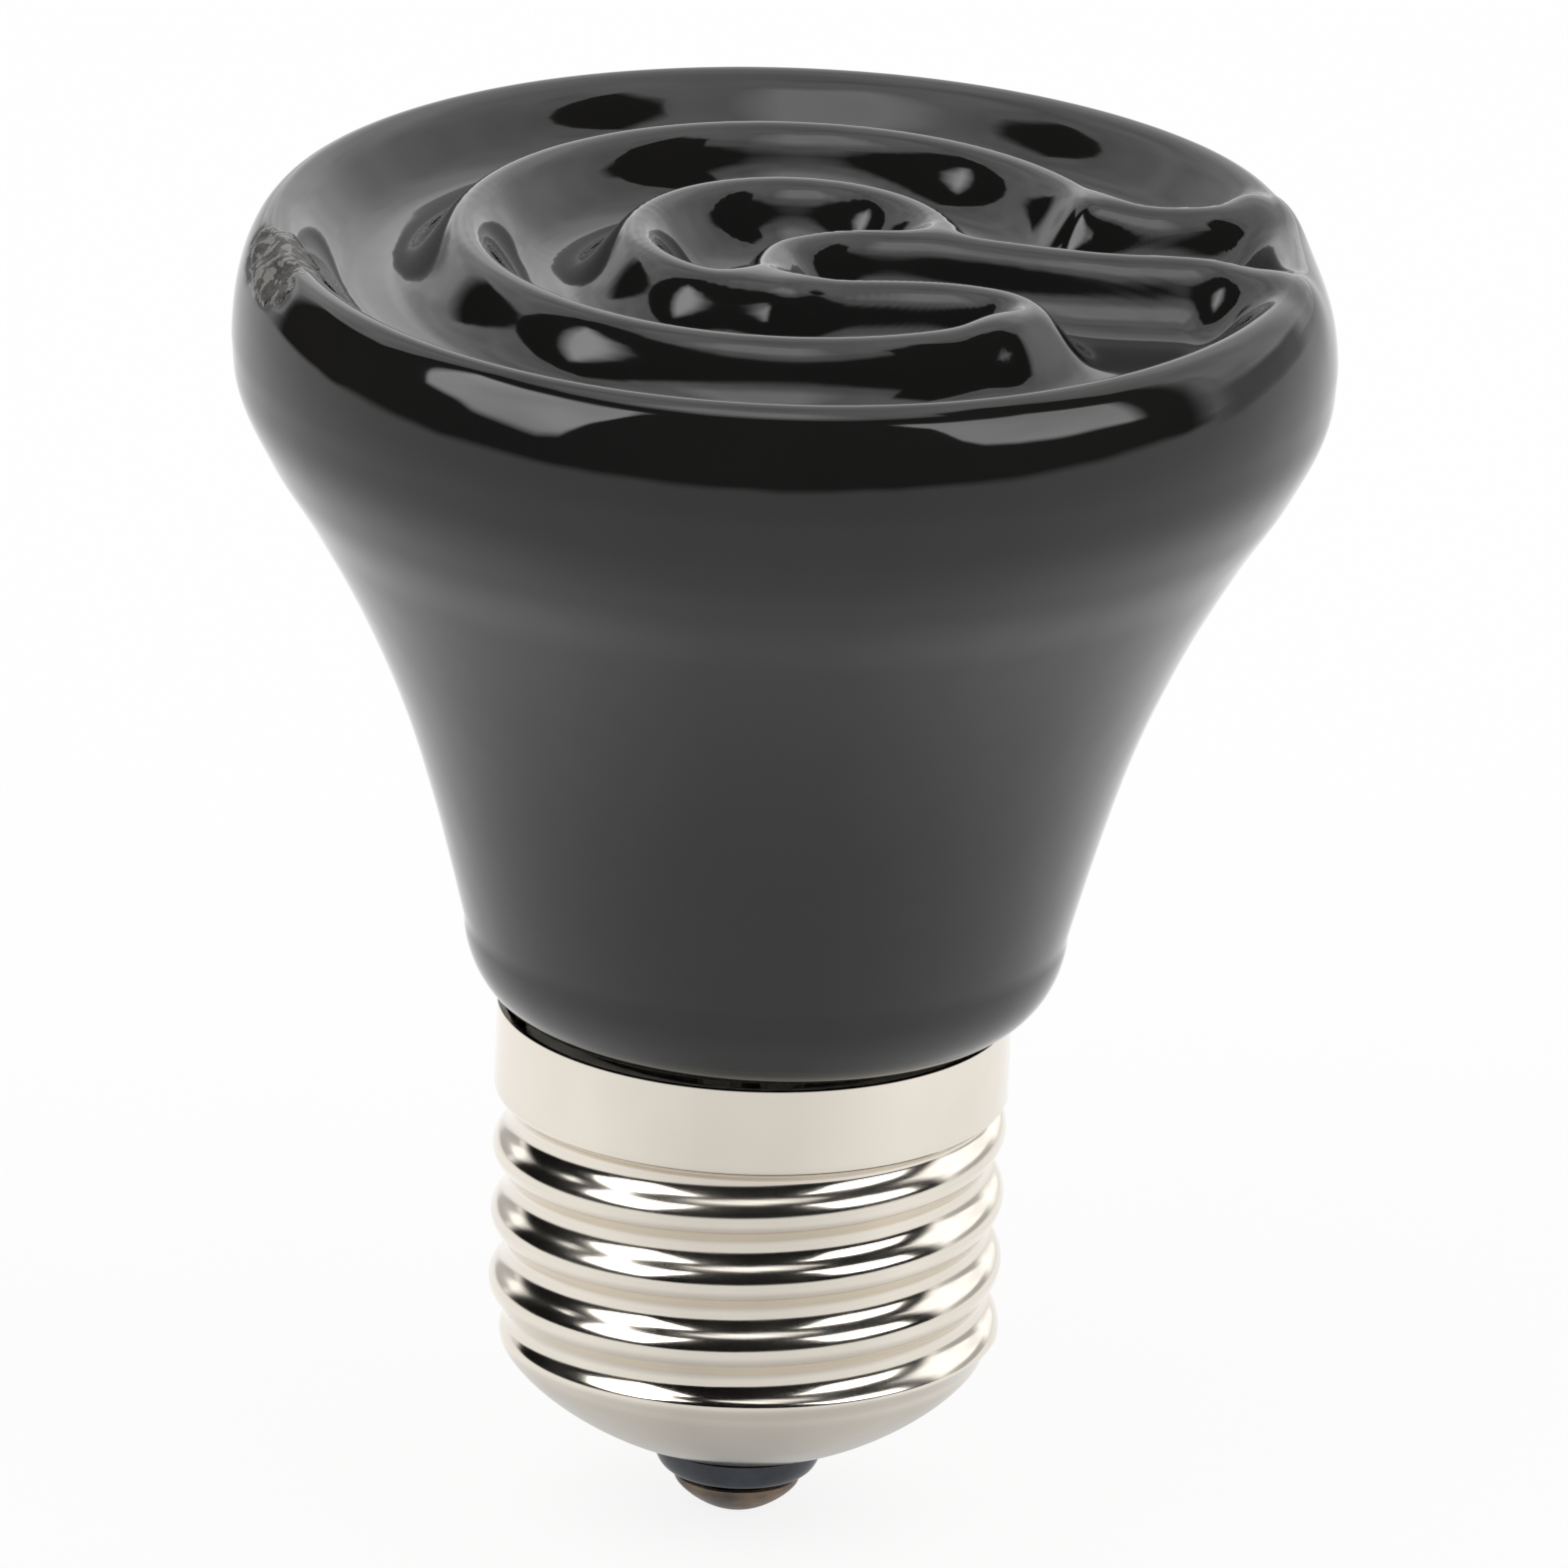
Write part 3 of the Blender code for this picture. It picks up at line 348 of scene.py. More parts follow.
def distance_to_line(x, y, line):
    """Distances in plan from many points to a line of points."""
    nearest = np.full(x.shape, np.inf)
    for start, end in zip(line, line[1:]):
        along = end - start
        share = ((x - start.x) * along.x + (y - start.y) * along.y) / along.length_squared
        share = np.clip(share, 0.0, 1.0)
        off_x = x - start.x - along.x * share
        off_y = y - start.y - along.y * share
        nearest = np.minimum(nearest, np.hypot(off_x, off_y))
    return nearest


def ridge_share(distance, softness):
    """Height of a ridge's flank, from 1 on the crest to 0 on the channel floor."""
    eased = np.sqrt(distance * distance + softness * softness) - softness
    reach = math.sqrt(CHANNEL_HALF * CHANNEL_HALF + softness * softness) - softness
    return np.clip(1 - eased / reach, 0.0, 1.0) ** 2


def lobe(angle, place):
    """A soft bump round the bell: 1 at its middle, from its middle and its spread in degrees."""
    middle, spread = np.radians(place)
    off = np.remainder(angle - middle + math.pi, 2 * math.pi) - math.pi
    return np.exp(-((off / spread) ** 2))


def rim_share(height):
    """0 up to the widest ring of the head, 1 at the rim's crest."""
    return np.clip((height - HEAD_Z) / (RIM_Z - HEAD_Z), 0.0, 1.0)


def head_swell(angle, height):
    """How far the skin of the head stands out from the plain turned shape."""
    up = np.clip((height - NECK_Z) / (HEAD_Z - NECK_Z), 0.0, 1.0)
    rim = RIM_SWELL * lobe(angle, RIM_SWELL_LOBE) - RIM_DENT * lobe(angle, RIM_DENT_LOBE)
    return -RIM_FULLNESS * np.cos(angle) * up ** 3 + rim * rim_share(height)


def crest_share(share):
    """Rounds off the crests, so that ridges that meet make a soft saddle."""
    start = 1 - CREST_SOFTNESS
    return np.where(share < start, share, start + CREST_SOFTNESS * np.tanh((share - start) / CREST_SOFTNESS))


def cast_height(x, y):
    """Height of the cast face over points in plan, before the glaze softens it."""
    angle = np.arctan2(y, x)
    rim_height = RIM_Z - RIM_SAG * lobe(angle, RIM_DENT_LOBE)
    rim_distance = np.maximum(0.0, RIM_RADIUS + head_swell(angle, RIM_Z) - np.hypot(x, y))
    rise = (rim_height - FLOOR_Z) * ridge_share(rim_distance, RIM_SOFTNESS)
    total = (rise / CHANNEL_DEPTH) ** JUNCTION_SHARPNESS
    for line in ridge_lines():
        total += ridge_share(distance_to_line(x, y, line), RIDGE_SOFTNESS) ** JUNCTION_SHARPNESS
    return FLOOR_Z + CHANNEL_DEPTH * crest_share(total ** (1 / JUNCTION_SHARPNESS))


@cache
def glazed_heights():
    """Heights of the face on a square grid, softened by the glaze, and the grid's middle index."""
    middle = math.ceil(HEAD_RADIUS / FACE_GRID)
    steps = np.arange(-middle, middle + 1) * FACE_GRID
    x, y = np.meshgrid(steps, steps, indexing="ij")
    heights = cast_height(x.ravel(), y.ravel()).reshape(x.shape)
    reach = math.ceil(3 * FACE_BLUR / FACE_GRID)
    weights = np.exp(-0.5 * (np.arange(-reach, reach + 1) * FACE_GRID / FACE_BLUR) ** 2)
    weights /= weights.sum()
    for axis in (0, 1):
        heights = np.apply_along_axis(np.convolve, axis, heights, weights, mode="same")
    return heights, middle


def face_height(x, y):
    """Height of the glazed face over points in plan, read between the grid's points."""
    heights, middle = glazed_heights()
    column = x / FACE_GRID + middle
    row = y / FACE_GRID + middle
    low_column = np.floor(column).astype(int)
    low_row = np.floor(row).astype(int)
    right, up = column - low_column, row - low_row
    lower = heights[low_column, low_row] * (1 - right) + heights[low_column + 1, low_row] * right
    upper = heights[low_column, low_row + 1] * (1 - right) + heights[low_column + 1, low_row + 1] * right
    return lower * (1 - up) + upper * up


def bell_profile():
    """Outside of the bell from the spigot up to the rim's crest, as (radius, height)."""
    points = [Vector((SPIGOT_RADIUS, NECK_BOTTOM_Z))]
    for step in range(NECK_STEPS):
        sink = math.cos(math.pi / 2 * step / NECK_STEPS)
        out = NECK_ROUNDING * (flank_share(sink, NECK_FULLNESS) - 1)
        points.append(Vector((NECK_RADIUS + out, NECK_Z - NECK_ROUNDING_HEIGHT * sink)))
    flare = [Vector((NECK_RADIUS, NECK_Z))]
    for up, out in FLARE:
        radius = NECK_RADIUS + out * (HEAD_RADIUS - NECK_RADIUS)
        flare.append(Vector((radius, NECK_Z + up * (HEAD_Z - NECK_Z))))
    points.extend(smooth_path([*flare, Vector((HEAD_RADIUS, HEAD_Z))], BELL_STEP))
    for step in range(1, CROWN_STEPS + 1):
        turn = math.pi / 2 * step / CROWN_STEPS
        radius = RIM_RADIUS + (HEAD_RADIUS - RIM_RADIUS) * math.cos(turn)
        points.append(Vector((radius, HEAD_Z + (RIM_Z - HEAD_Z) * math.sin(turn))))
    return points


def mesh_object(name, vertices, faces, smooth_angle=40):
    """A mesh object from plain lists, shaded smooth."""
    mesh = bpy.data.meshes.new(name)
    mesh.from_pydata(vertices, [], faces)
    mesh.validate()
    mesh.shade_smooth()
    mesh.set_sharp_from_angle(angle=math.radians(smooth_angle))
    obj = bpy.data.objects.new(name, mesh)
    bpy.context.scene.collection.objects.link(obj)
    return obj


def ring_faces(lower, upper, count):
    """Quads between two rings of vertex numbers that start at lower and upper."""
    faces = []
    for index in range(count):
        following = (index + 1) % count
        faces.append((lower + index, lower + following, upper + following, upper + index))
    return faces


def glaze_sink(points):
    """How far the uneven glaze lies under its highest level, point by point."""
    sink = np.zeros(len(points))
    for depth, width in GLAZE_WAVES:
        for index, point in enumerate(points):
            sink[index] += depth * (1 - noise.noise(Vector(point) / width)) / 2
    return sink


def scar_sink(points):
    """How far the scar is broken into the skin, point by point."""
    sink = np.zeros(len(points))
    for index, point in enumerate(points):
        off = Vector(point) + Vector((BELL_OFFSET, 0, 0)) - SCAR_PLACE
        reach = Vector((off.x / SCAR_SIZE.x, off.y / SCAR_SIZE.y, off.z / SCAR_SIZE.z)).length
        if reach < 1 + SCAR_EDGE:
            grain = SCAR_GRAIN_MEAN + SCAR_GRAIN_SWING * noise.noise(Vector(point) / SCAR_GRAIN)
            sink[index] = SCAR_DEPTH * grain * min(1.0, (1 + SCAR_EDGE - reach) / SCAR_EDGE)
    return sink


def build_bell():
    """The bell's glazed skin in a fine mesh, from the spigot up and over the labyrinth."""
    angle = 2 * math.pi * np.arange(BELL_SEGMENTS) / BELL_SEGMENTS
    crest = RIM_RADIUS + head_swell(angle, RIM_Z)
    lift = face_height(crest * np.cos(angle), crest * np.sin(angle)) - RIM_Z
    rings = []
    for radius, height in bell_profile():
        out = radius + head_swell(angle, height)
        top = height + lift * rim_share(height)
        rings.append(np.stack([out * np.cos(angle), out * np.sin(angle), top], axis=1))
    crest = rings[-1]
    for ring in range(1, FACE_RINGS):
        share = 1 - ring / FACE_RINGS
        x, y = crest[:, 0] * share, crest[:, 1] * share
        rings.append(np.stack([x, y, face_height(x, y)], axis=1))
    vertices = np.concatenate(rings)
    sink = glaze_sink(vertices)
    skin = len(bell_profile()) * BELL_SEGMENTS
    out = np.hypot(vertices[:skin, 0], vertices[:skin, 1])
    inward = sink[:skin] + scar_sink(vertices[:skin])
    vertices[:skin, :2] *= (1 - inward / out)[:, None]
    vertices[skin - BELL_SEGMENTS:, 2] -= FACE_WAVE_SHARE * sink[skin - BELL_SEGMENTS:]
    centre = len(vertices)
    middle = face_height(np.array([0.0]), np.array([0.0]))[0]
    vertices = np.concatenate([vertices, [[0.0, 0.0, middle]]])
    vertices[:, 0] += BELL_OFFSET
    faces = []
    for ring in range(len(rings) - 1):
        faces.extend(ring_faces(ring * BELL_SEGMENTS, (ring + 1) * BELL_SEGMENTS, BELL_SEGMENTS))
    last = (len(rings) - 1) * BELL_SEGMENTS
    for index in range(BELL_SEGMENTS):
        faces.append((last + index, last + (index + 1) % BELL_SEGMENTS, centre))
    faces.append(tuple(reversed(range(BELL_SEGMENTS))))
    return mesh_object("glazed_bell", vertices.tolist(), faces, smooth_angle=60)


def thread_wave(turns):
    """Round crests and roots over turns of the thread: 1 on a crest, 0 in a root."""
    half = THREAD_PITCH / 2
    arc_radius = (half * half + THREAD_DEPTH * THREAD_DEPTH) / (4 * THREAD_DEPTH)
    off = np.abs(turns - np.round(turns)) * THREAD_PITCH
    near = np.minimum(off, half - off)
    bow = (arc_radius - np.sqrt(arc_radius * arc_radius - near * near)) / THREAD_DEPTH
    arcs = np.where(off < half / 2, 1 - bow, bow)
    sine = 0.5 + 0.5 * np.cos(math.pi * off / half)
    return arcs * THREAD_ARC_SHARE + sine * (1 - THREAD_ARC_SHARE)


def thread_radius(height, angle):
    """Outside of the rolled thread over a height and an angle."""
    wave = thread_wave((height - THREAD_CREST_Z) / THREAD_PITCH - angle / (2 * math.pi))
    rise = np.clip((height - THREAD_BOTTOM_Z + THREAD_FADE) / THREAD_FADE, 0.0, 1.0)
    plain = THREAD_ROOT_RADIUS + THREAD_DEPTH * THREAD_RUNOUT_SHARE * (1 - rise)
    return plain + (THREAD_CREST_RADIUS - plain) * wave * rise


def shell_radius(height, angle):
    """Outside of the whole screw shell over a height and an angle."""
    if height <= SHELL_CONE_Z:
        reach = thread_radius(SHELL_CONE_Z, 0.0) - SHELL_MOUTH_RADIUS
        sink = min(1.0, (SHELL_CONE_Z - height) / (SHELL_CONE_Z - SHELL_MOUTH_Z))
        return np.full(angle.shape, SHELL_MOUTH_RADIUS + reach * flank_share(sink, SHELL_CONE_FULLNESS))
    band = np.clip((height - THREAD_TOP_Z + BAND_EDGE) / BAND_BLEND, 0.0, 1.0)
    band = band * band * (3 - 2 * band)
    return thread_radius(height, angle) * (1 - band) + BAND_RADIUS * band


def build_screw_shell():
    """The thin rolled shell of the cap."""
    angle = 2 * math.pi * np.arange(SHELL_SEGMENTS) / SHELL_SEGMENTS
    heights = []
    for step in range(CONE_STEPS):
        turn = math.pi / 2 * (1 - step / CONE_STEPS)
        heights.append(SHELL_CONE_Z - (SHELL_CONE_Z - SHELL_MOUTH_Z) * math.sin(turn))
    steps = round((SHELL_TOP_Z - SHELL_CONE_Z) / SHELL_STEP)
    for step in range(steps + 1):
        heights.append(SHELL_CONE_Z + (SHELL_TOP_Z - SHELL_CONE_Z) * step / steps)
    outer = []
    for height in heights:
        radius = shell_radius(height, angle)
        outer.append(np.stack([radius, np.full(angle.shape, height)], axis=1))
    outer = np.array(outer)
    along = np.gradient(outer, axis=0)
    along /= np.linalg.norm(along, axis=2, keepdims=True)
    inner = outer + np.stack([-along[:, :, 1], along[:, :, 0]], axis=2) * SHELL_WALL
    inner[0] = outer[0] + np.array([0.0, SHELL_WALL])
    inner[-1] = outer[-1] - np.array([SHELL_WALL, 0.0])
    rings = [*outer, *inner[::-1]]
    vertices = []
    for ring in rings:
        x, y = ring[:, 0] * np.cos(angle), ring[:, 0] * np.sin(angle)
        vertices.append(np.stack([x, y, ring[:, 1]], axis=1))
    faces = []
    for ring in range(len(rings)):
        following = (ring + 1) % len(rings)
        faces.extend(ring_faces(ring * SHELL_SEGMENTS, following * SHELL_SEGMENTS, SHELL_SEGMENTS))
    return mesh_object("nickel_shell", np.concatenate(vertices).tolist(), faces, smooth_angle=50)


def turned(name, profile):
    """A solid turned round the cap's axis from (radius, height) points, with flat ends."""
    segments = TURNED_SEGMENTS
    angle = 2 * math.pi * np.arange(segments) / segments
    vertices = []
    for radius, height in profile:
        ring = [radius * np.cos(angle), radius * np.sin(angle), np.full(angle.shape, height)]
        vertices.extend(np.transpose(ring).tolist())
    faces = []
    for ring in range(len(profile) - 1):
        faces.extend(ring_faces(ring * segments, (ring + 1) * segments, segments))
    faces.append(tuple(reversed(range(segments))))
    faces.append(tuple(range(len(vertices) - segments, len(vertices))))
    return mesh_object(name, vertices, faces)


def rounded_side(foot, shoulder, fullness):
    """Points up a rounded flank from its foot to its shoulder, each a (radius, height)."""
    points = []
    for step in range(ROUNDED_STEPS + 1):
        sink = math.cos(math.pi / 2 * step / ROUNDED_STEPS)
        out = flank_share(sink, fullness)
        radius = foot[0] + (shoulder[0] - foot[0]) * out
        points.append((radius, shoulder[1] + (foot[1] - shoulder[1]) * sink))
    return points


def build_insulator():
    """The black glass insulator: a rounded foot with its plug hidden in the shell."""
    foot = (INSULATOR_FOOT_RADIUS, INSULATOR_FOOT_Z)
    collar_z = SHELL_MOUTH_Z - CLEARANCE
    shoulder = (INSULATOR_COLLAR_RADIUS, collar_z)
    throat = SHELL_MOUTH_RADIUS - INSULATOR_THROAT_GAP
    plug = [
        (throat, collar_z),
        (throat, INSULATOR_THROAT_Z),
        (INSULATOR_PLUG_RADIUS, INSULATOR_PLUG_Z),
        (INSULATOR_PLUG_RADIUS, INSULATOR_TOP_Z),
    ]
    return turned("insulator_foot", [*rounded_side(foot, shoulder, INSULATOR_FULLNESS), *plug])


def build_contact():
    """The domed contact under the insulator, with its rivet."""
    edge_z = CONTACT_HEIGHT - CONTACT_EDGE
    dome = rounded_side((CONTACT_TIP_RADIUS, 0.0), (CONTACT_RADIUS, edge_z), CONTACT_FULLNESS)
    edge = [
        (CONTACT_RADIUS, CONTACT_HEIGHT - CONTACT_BEVEL),
        (CONTACT_RADIUS - CONTACT_BEVEL, CONTACT_HEIGHT),
    ]
    rivet = [
        (RIVET_RADIUS, CONTACT_HEIGHT),
        (RIVET_RADIUS, RIVET_HEAD_Z),
        (RIVET_HEAD_RADIUS, RIVET_HEAD_Z),
        (RIVET_HEAD_RADIUS - RIVET_HEAD_TAPER, RIVET_HEAD_Z + RIVET_HEAD_HEIGHT),
    ]
    return turned("contact_dome", [*dome, *edge, *rivet])


def new_material(name, colours, colour_scale, roughness, metallic=0.0):
    """A Principled material whose colour drifts between two; returns it with its shader."""
    material = bpy.data.materials.new(name)
    material.use_nodes = True
    shader = material.node_tree.nodes["Principled BSDF"]
    middle = [(low + high) / 2 for low, high in zip(*colours)]
    shader.inputs["Base Color"].default_value = (*middle, 1.0)
    shader.inputs["Roughness"].default_value = roughness
    shader.inputs["Metallic"].default_value = metallic
    shader.inputs["IOR"].default_value = 1.5
    vary(material, shader.inputs["Base Color"], object_noise(material, colour_scale), *colours)
    return material, shader


def object_noise(material, scale, detail=4.0, stretch=(1, 1, 1)):
    """A noise texture over the object's own coordinates; returns its node."""
    nodes, links = material.node_tree.nodes, material.node_tree.links
    coordinates = nodes.new("ShaderNodeTexCoord")
    mapping = nodes.new("ShaderNodeMapping")
    mapping.inputs["Scale"].default_value = stretch
    texture = nodes.new("ShaderNodeTexNoise")
    texture.inputs["Scale"].default_value = scale
    texture.inputs["Detail"].default_value = detail
    links.new(coordinates.outputs["Object"], mapping.inputs["Vector"])
    links.new(mapping.outputs["Vector"], texture.inputs["Vector"])
    return texture


def vary(material, socket, texture, low, high):
    """Drive a shader socket from a texture, between a low and a high value or colour."""
    nodes, links = material.node_tree.nodes, material.node_tree.links
    if isinstance(low, tuple):
        ramp = nodes.new("ShaderNodeValToRGB")
        for element, position, colour in zip(ramp.color_ramp.elements, COLOUR_SPREAD, (low, high)):
            element.position = position
            element.color = (*colour, 1.0)
        links.new(texture.outputs["Fac"], ramp.inputs["Fac"])
        links.new(ramp.outputs["Color"], socket)
        return
    spread = nodes.new("ShaderNodeMapRange")
    spread.inputs["From Min"].default_value, spread.inputs["From Max"].default_value = VALUE_SPREAD
    spread.inputs["To Min"].default_value = low
    spread.inputs["To Max"].default_value = high
    links.new(texture.outputs["Fac"], spread.inputs["Value"])
    links.new(spread.outputs["Result"], socket)


def add_bump(material, shader, texture, distance):
    """Fine relief on a material from a texture's output."""
    nodes, links = material.node_tree.nodes, material.node_tree.links
    bump = nodes.new("ShaderNodeBump")
    bump.inputs["Strength"].default_value = 1.0
    bump.inputs["Distance"].default_value = distance
    links.new(texture, bump.inputs["Height"])
    links.new(bump.outputs["Normal"], shader.inputs["Normal"])


def math_node(material, operation, first, second, clamp=False):
    """A maths node whose inputs are sockets or plain numbers; returns its output."""
    node = material.node_tree.nodes.new("ShaderNodeMath")
    node.operation = operation
    node.use_clamp = clamp
    for socket, value in zip(node.inputs, (first, second)):
        if isinstance(value, (int, float)):
            socket.default_value = value
        else:
            material.node_tree.links.new(value, socket)
    return node.outputs[0]


def scar_mask(material):
    """1 inside the scar of the rim and 0 outside it, with a ragged edge."""
    nodes, links = material.node_tree.nodes, material.node_tree.links
    coordinates = nodes.new("ShaderNodeTexCoord")
    off = nodes.new("ShaderNodeVectorMath")
    off.operation = "SUBTRACT"
    off.inputs[1].default_value = SCAR_PLACE
    scaled = nodes.new("ShaderNodeVectorMath")
    scaled.operation = "DIVIDE"
    scaled.inputs[1].default_value = SCAR_SIZE
    length = nodes.new("ShaderNodeVectorMath")
    length.operation = "LENGTH"
    links.new(coordinates.outputs["Object"], off.inputs[0])
    links.new(off.outputs["Vector"], scaled.inputs[0])
    links.new(scaled.outputs["Vector"], length.inputs[0])
    ragged = object_noise(material, scale=900, detail=3.0).outputs["Fac"]
    edge = math_node(material, "SUBTRACT", SCAR_STAIN_REACH, length.outputs["Value"])
    torn = math_node(material, "SUBTRACT", math_node(material, "ADD", edge, ragged), 0.5)
    return math_node(material, "MULTIPLY", torn, SCAR_STAIN_SHARPNESS, clamp=True)


def blend(material, socket, mask, amount):
    """Lay a plain colour or value over what drives a shader socket, where a mask is 1."""
    nodes, links = material.node_tree.nodes, material.node_tree.links
    mix = nodes.new("ShaderNodeMix")
    mix.data_type = "RGBA" if isinstance(amount, tuple) else "FLOAT"
    kind = "_Color" if isinstance(amount, tuple) else "_Float"
    inputs = {entry.identifier: entry for entry in mix.inputs}
    outputs = {entry.identifier: entry for entry in mix.outputs}
    links.new(mask, inputs["Factor_Float"])
    links.new(socket.links[0].from_socket, inputs["A" + kind])
    inputs["B" + kind].default_value = (*amount, 1.0) if isinstance(amount, tuple) else amount
    links.new(outputs["Result" + kind], socket)


def glaze_material():
    """Glossy black glaze with faint orange peel, dust specks and the bare grey scar on the rim."""
    material, shader = new_material("black_glaze_finish", GLAZE_COLOURS, 60, GLAZE_ROUGHNESS[0])
    colour, roughness = shader.inputs["Base Color"], shader.inputs["Roughness"]
    vary(material, roughness, object_noise(material, scale=90), *GLAZE_ROUGHNESS)
    specks = material.node_tree.nodes.new("ShaderNodeTexVoronoi")
    specks.inputs["Scale"].default_value = DUST_SCALE
    dust = math_node(material, "LESS_THAN", specks.outputs["Distance"], DUST_SIZE)
    blend(material, colour, dust, DUST_COLOUR)
    scar = scar_mask(material)
    blend(material, colour, scar, SCAR_COLOUR)
    crumb_noise = object_noise(material, scale=1500, detail=2.0).outputs["Fac"]
    crumbs = math_node(material, "GREATER_THAN", crumb_noise, SCAR_CRUMB_LEVEL)
    blend(material, colour, math_node(material, "MULTIPLY", crumbs, scar), SCAR_CRUMB_COLOUR)
    blend(material, roughness, scar, SCAR_ROUGHNESS)
    peel = object_noise(material, scale=260, detail=2.0).outputs["Fac"]
    grain_noise = object_noise(material, scale=1300).outputs["Fac"]
    grain = math_node(material, "MULTIPLY", grain_noise, SCAR_RELIEF)
    relief = math_node(material, "ADD", peel, math_node(material, "MULTIPLY", grain, scar))
    add_bump(material, shader, relief, FINE_RELIEF)
    return material


def nickel_material():
    """Nickel plate on rolled sheet: warm grey, drawn lines round the cap."""
    material, shader = new_material("nickel_finish", NICKEL_COLOURS, 120, NICKEL_ROUGHNESS[0], 1.0)
    vary(material, shader.inputs["Roughness"], object_noise(material, scale=200), *NICKEL_ROUGHNESS)
    drawn = object_noise(material, scale=300, detail=3.0, stretch=(1, 1, 8))
    add_bump(material, shader, drawn.outputs["Fac"], FINE_RELIEF)
    return material


def glass_material():
    """Opaque black insulator glass with a blue-grey sheen."""
    material, shader = new_material("insulator_glass", GLASS_COLOURS, 500, GLASS_ROUGHNESS[0])
    vary(material, shader.inputs["Roughness"], object_noise(material, scale=300), *GLASS_ROUGHNESS)
    return material


def contact_material():
    """Plate of the contact, its colour drifting between dark grey and coppery patches."""
    material, shader = new_material("contact_finish", CONTACT_COLOURS, 420, CONTACT_ROUGHNESS[0], 1.0)
    vary(material, shader.inputs["Roughness"], object_noise(material, scale=600), *CONTACT_ROUGHNESS)
    return material


def plain_material(name, colours, roughness, metallic=0.0):
    """A finish for the pieces inside, mottled between two colours."""
    material, shader = new_material(name, colours, 400, roughness, metallic)
    add_bump(material, shader, object_noise(material, scale=800).outputs["Fac"], ROUGH_RELIEF)
    return material


def dress_cad_nodes():
    """Give the pieces that keep their CAD shape a finish of their own."""
    lead = plain_material("lead_finish", LEAD_COLOURS, 0.3, 1.0)
    sleeve = plain_material("sleeve_finish", SLEEVE_COLOURS, 0.85)
    finishes = {
        "heating_coil": plain_material("coil_finish", COIL_COLOURS, 0.45, 1.0),
        "centre_lead": lead,
        "shell_lead": lead,
        "centre_lead_sleeve": sleeve,
        "shell_lead_sleeve": sleeve,
        "cap_cement": plain_material("cement_finish", CEMENT_COLOURS, 0.95),
        "shell_solder": plain_material("solder_finish", SOLDER_COLOURS, 0.35, 1.0),
    }
    for node, material in finishes.items():
        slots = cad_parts[node].material_slots
        for index in range(len(slots)):
            slots[index].material = material


def only_reflected(obj):
    """Let an object be seen in reflections alone."""
    obj.visible_camera = False
    obj.visible_diffuse = False
    obj.visible_transmission = False
    obj.visible_shadow = False


def card_sheet(name, lower, upper, radius):
    """A curved sheet round the head between two edges, each a list of (azimuth, elevation)."""
    turns = np.linspace(lower[0][0], lower[-1][0], CARD_COLUMNS + 1)
    bottom = np.interp(turns, *np.transpose(lower))
    top = np.interp(turns, *np.transpose(upper))
    turn = np.radians(turns)
    vertices = []
    for row in range(CARD_ROWS + 1):
        lift = np.radians(bottom + (top - bottom) * row / CARD_ROWS)
        across = radius * np.cos(lift)
        place = [across * np.sin(turn), -across * np.cos(turn), RIM_Z + radius * np.sin(lift)]
        vertices.extend(np.transpose(place).tolist())
    faces = []
    for row in range(CARD_ROWS):
        for column in range(CARD_COLUMNS):
            corner = row * (CARD_COLUMNS + 1) + column
            faces.append((corner, corner + 1, corner + CARD_COLUMNS + 2, corner + CARD_COLUMNS + 1))
    return mesh_object(name, vertices, faces)


def card_fades(softness):
    """How opaque a card is, vertex by vertex: it fades out over a share of its width and height."""
    if not softness:
        return np.ones((CARD_COLUMNS + 1) * (CARD_ROWS + 1))
    columns, rows = np.arange(CARD_COLUMNS + 1), np.arange(CARD_ROWS + 1)
    from_side = np.minimum(columns, CARD_COLUMNS - columns) / CARD_COLUMNS
    from_edge = np.minimum(rows, CARD_ROWS - rows) / CARD_ROWS
    side_fade = np.clip(from_side / softness, 0, 1)
    edge_fade = np.clip(from_edge / softness, 0, 1)
    return np.outer(edge_fade, side_fade).ravel()


def card_material(name, brightness):
    """Glowing cloth, uneven in brightness, that the fade attribute makes see-through."""
    material = bpy.data.materials.new(name)
    material.use_nodes = True
    nodes, links = material.node_tree.nodes, material.node_tree.links
    nodes.clear()
    emission = white_emission(nodes)
    cloth = object_noise(material, scale=3.0, detail=2.0)
    low, high = (share * brightness for share in CARD_CLOTH)
    vary(material, emission.inputs["Strength"], cloth, low, high)
    fade = nodes.new("ShaderNodeAttribute")
    fade.attribute_name = "fade"
    clear = nodes.new("ShaderNodeBsdfTransparent")
    mix = mix_shaders(material, fade.outputs["Fac"], clear.outputs["BSDF"], emission.outputs["Emission"])
    output = nodes.new("ShaderNodeOutputMaterial")
    links.new(mix, output.inputs["Surface"])
    return material


def reflected_card(name, lower, upper, radius, brightness, softness):
    """A studio card that is seen only in reflections."""
    card = card_sheet(name, lower, upper, radius)
    card.data.attributes.new("fade", "FLOAT", "POINT").data.foreach_set("value", card_fades(softness))
    card.data.materials.append(card_material(name + "_finish", brightness))
    only_reflected(card)


def background_ray(nodes, links):
    """A value that is 1 for rays that see the background: camera, reflection and transmission."""
    path = nodes.new("ShaderNodeLightPath")
    total = path.outputs["Is Camera Ray"]
    for name in ("Is Glossy Ray", "Is Transmission Ray"):
        add = nodes.new("ShaderNodeMath")
        add.operation = "ADD"
        add.use_clamp = True
        links.new(total, add.inputs[0])
        links.new(path.outputs[name], add.inputs[1])
        total = add.outputs[0]
    return total


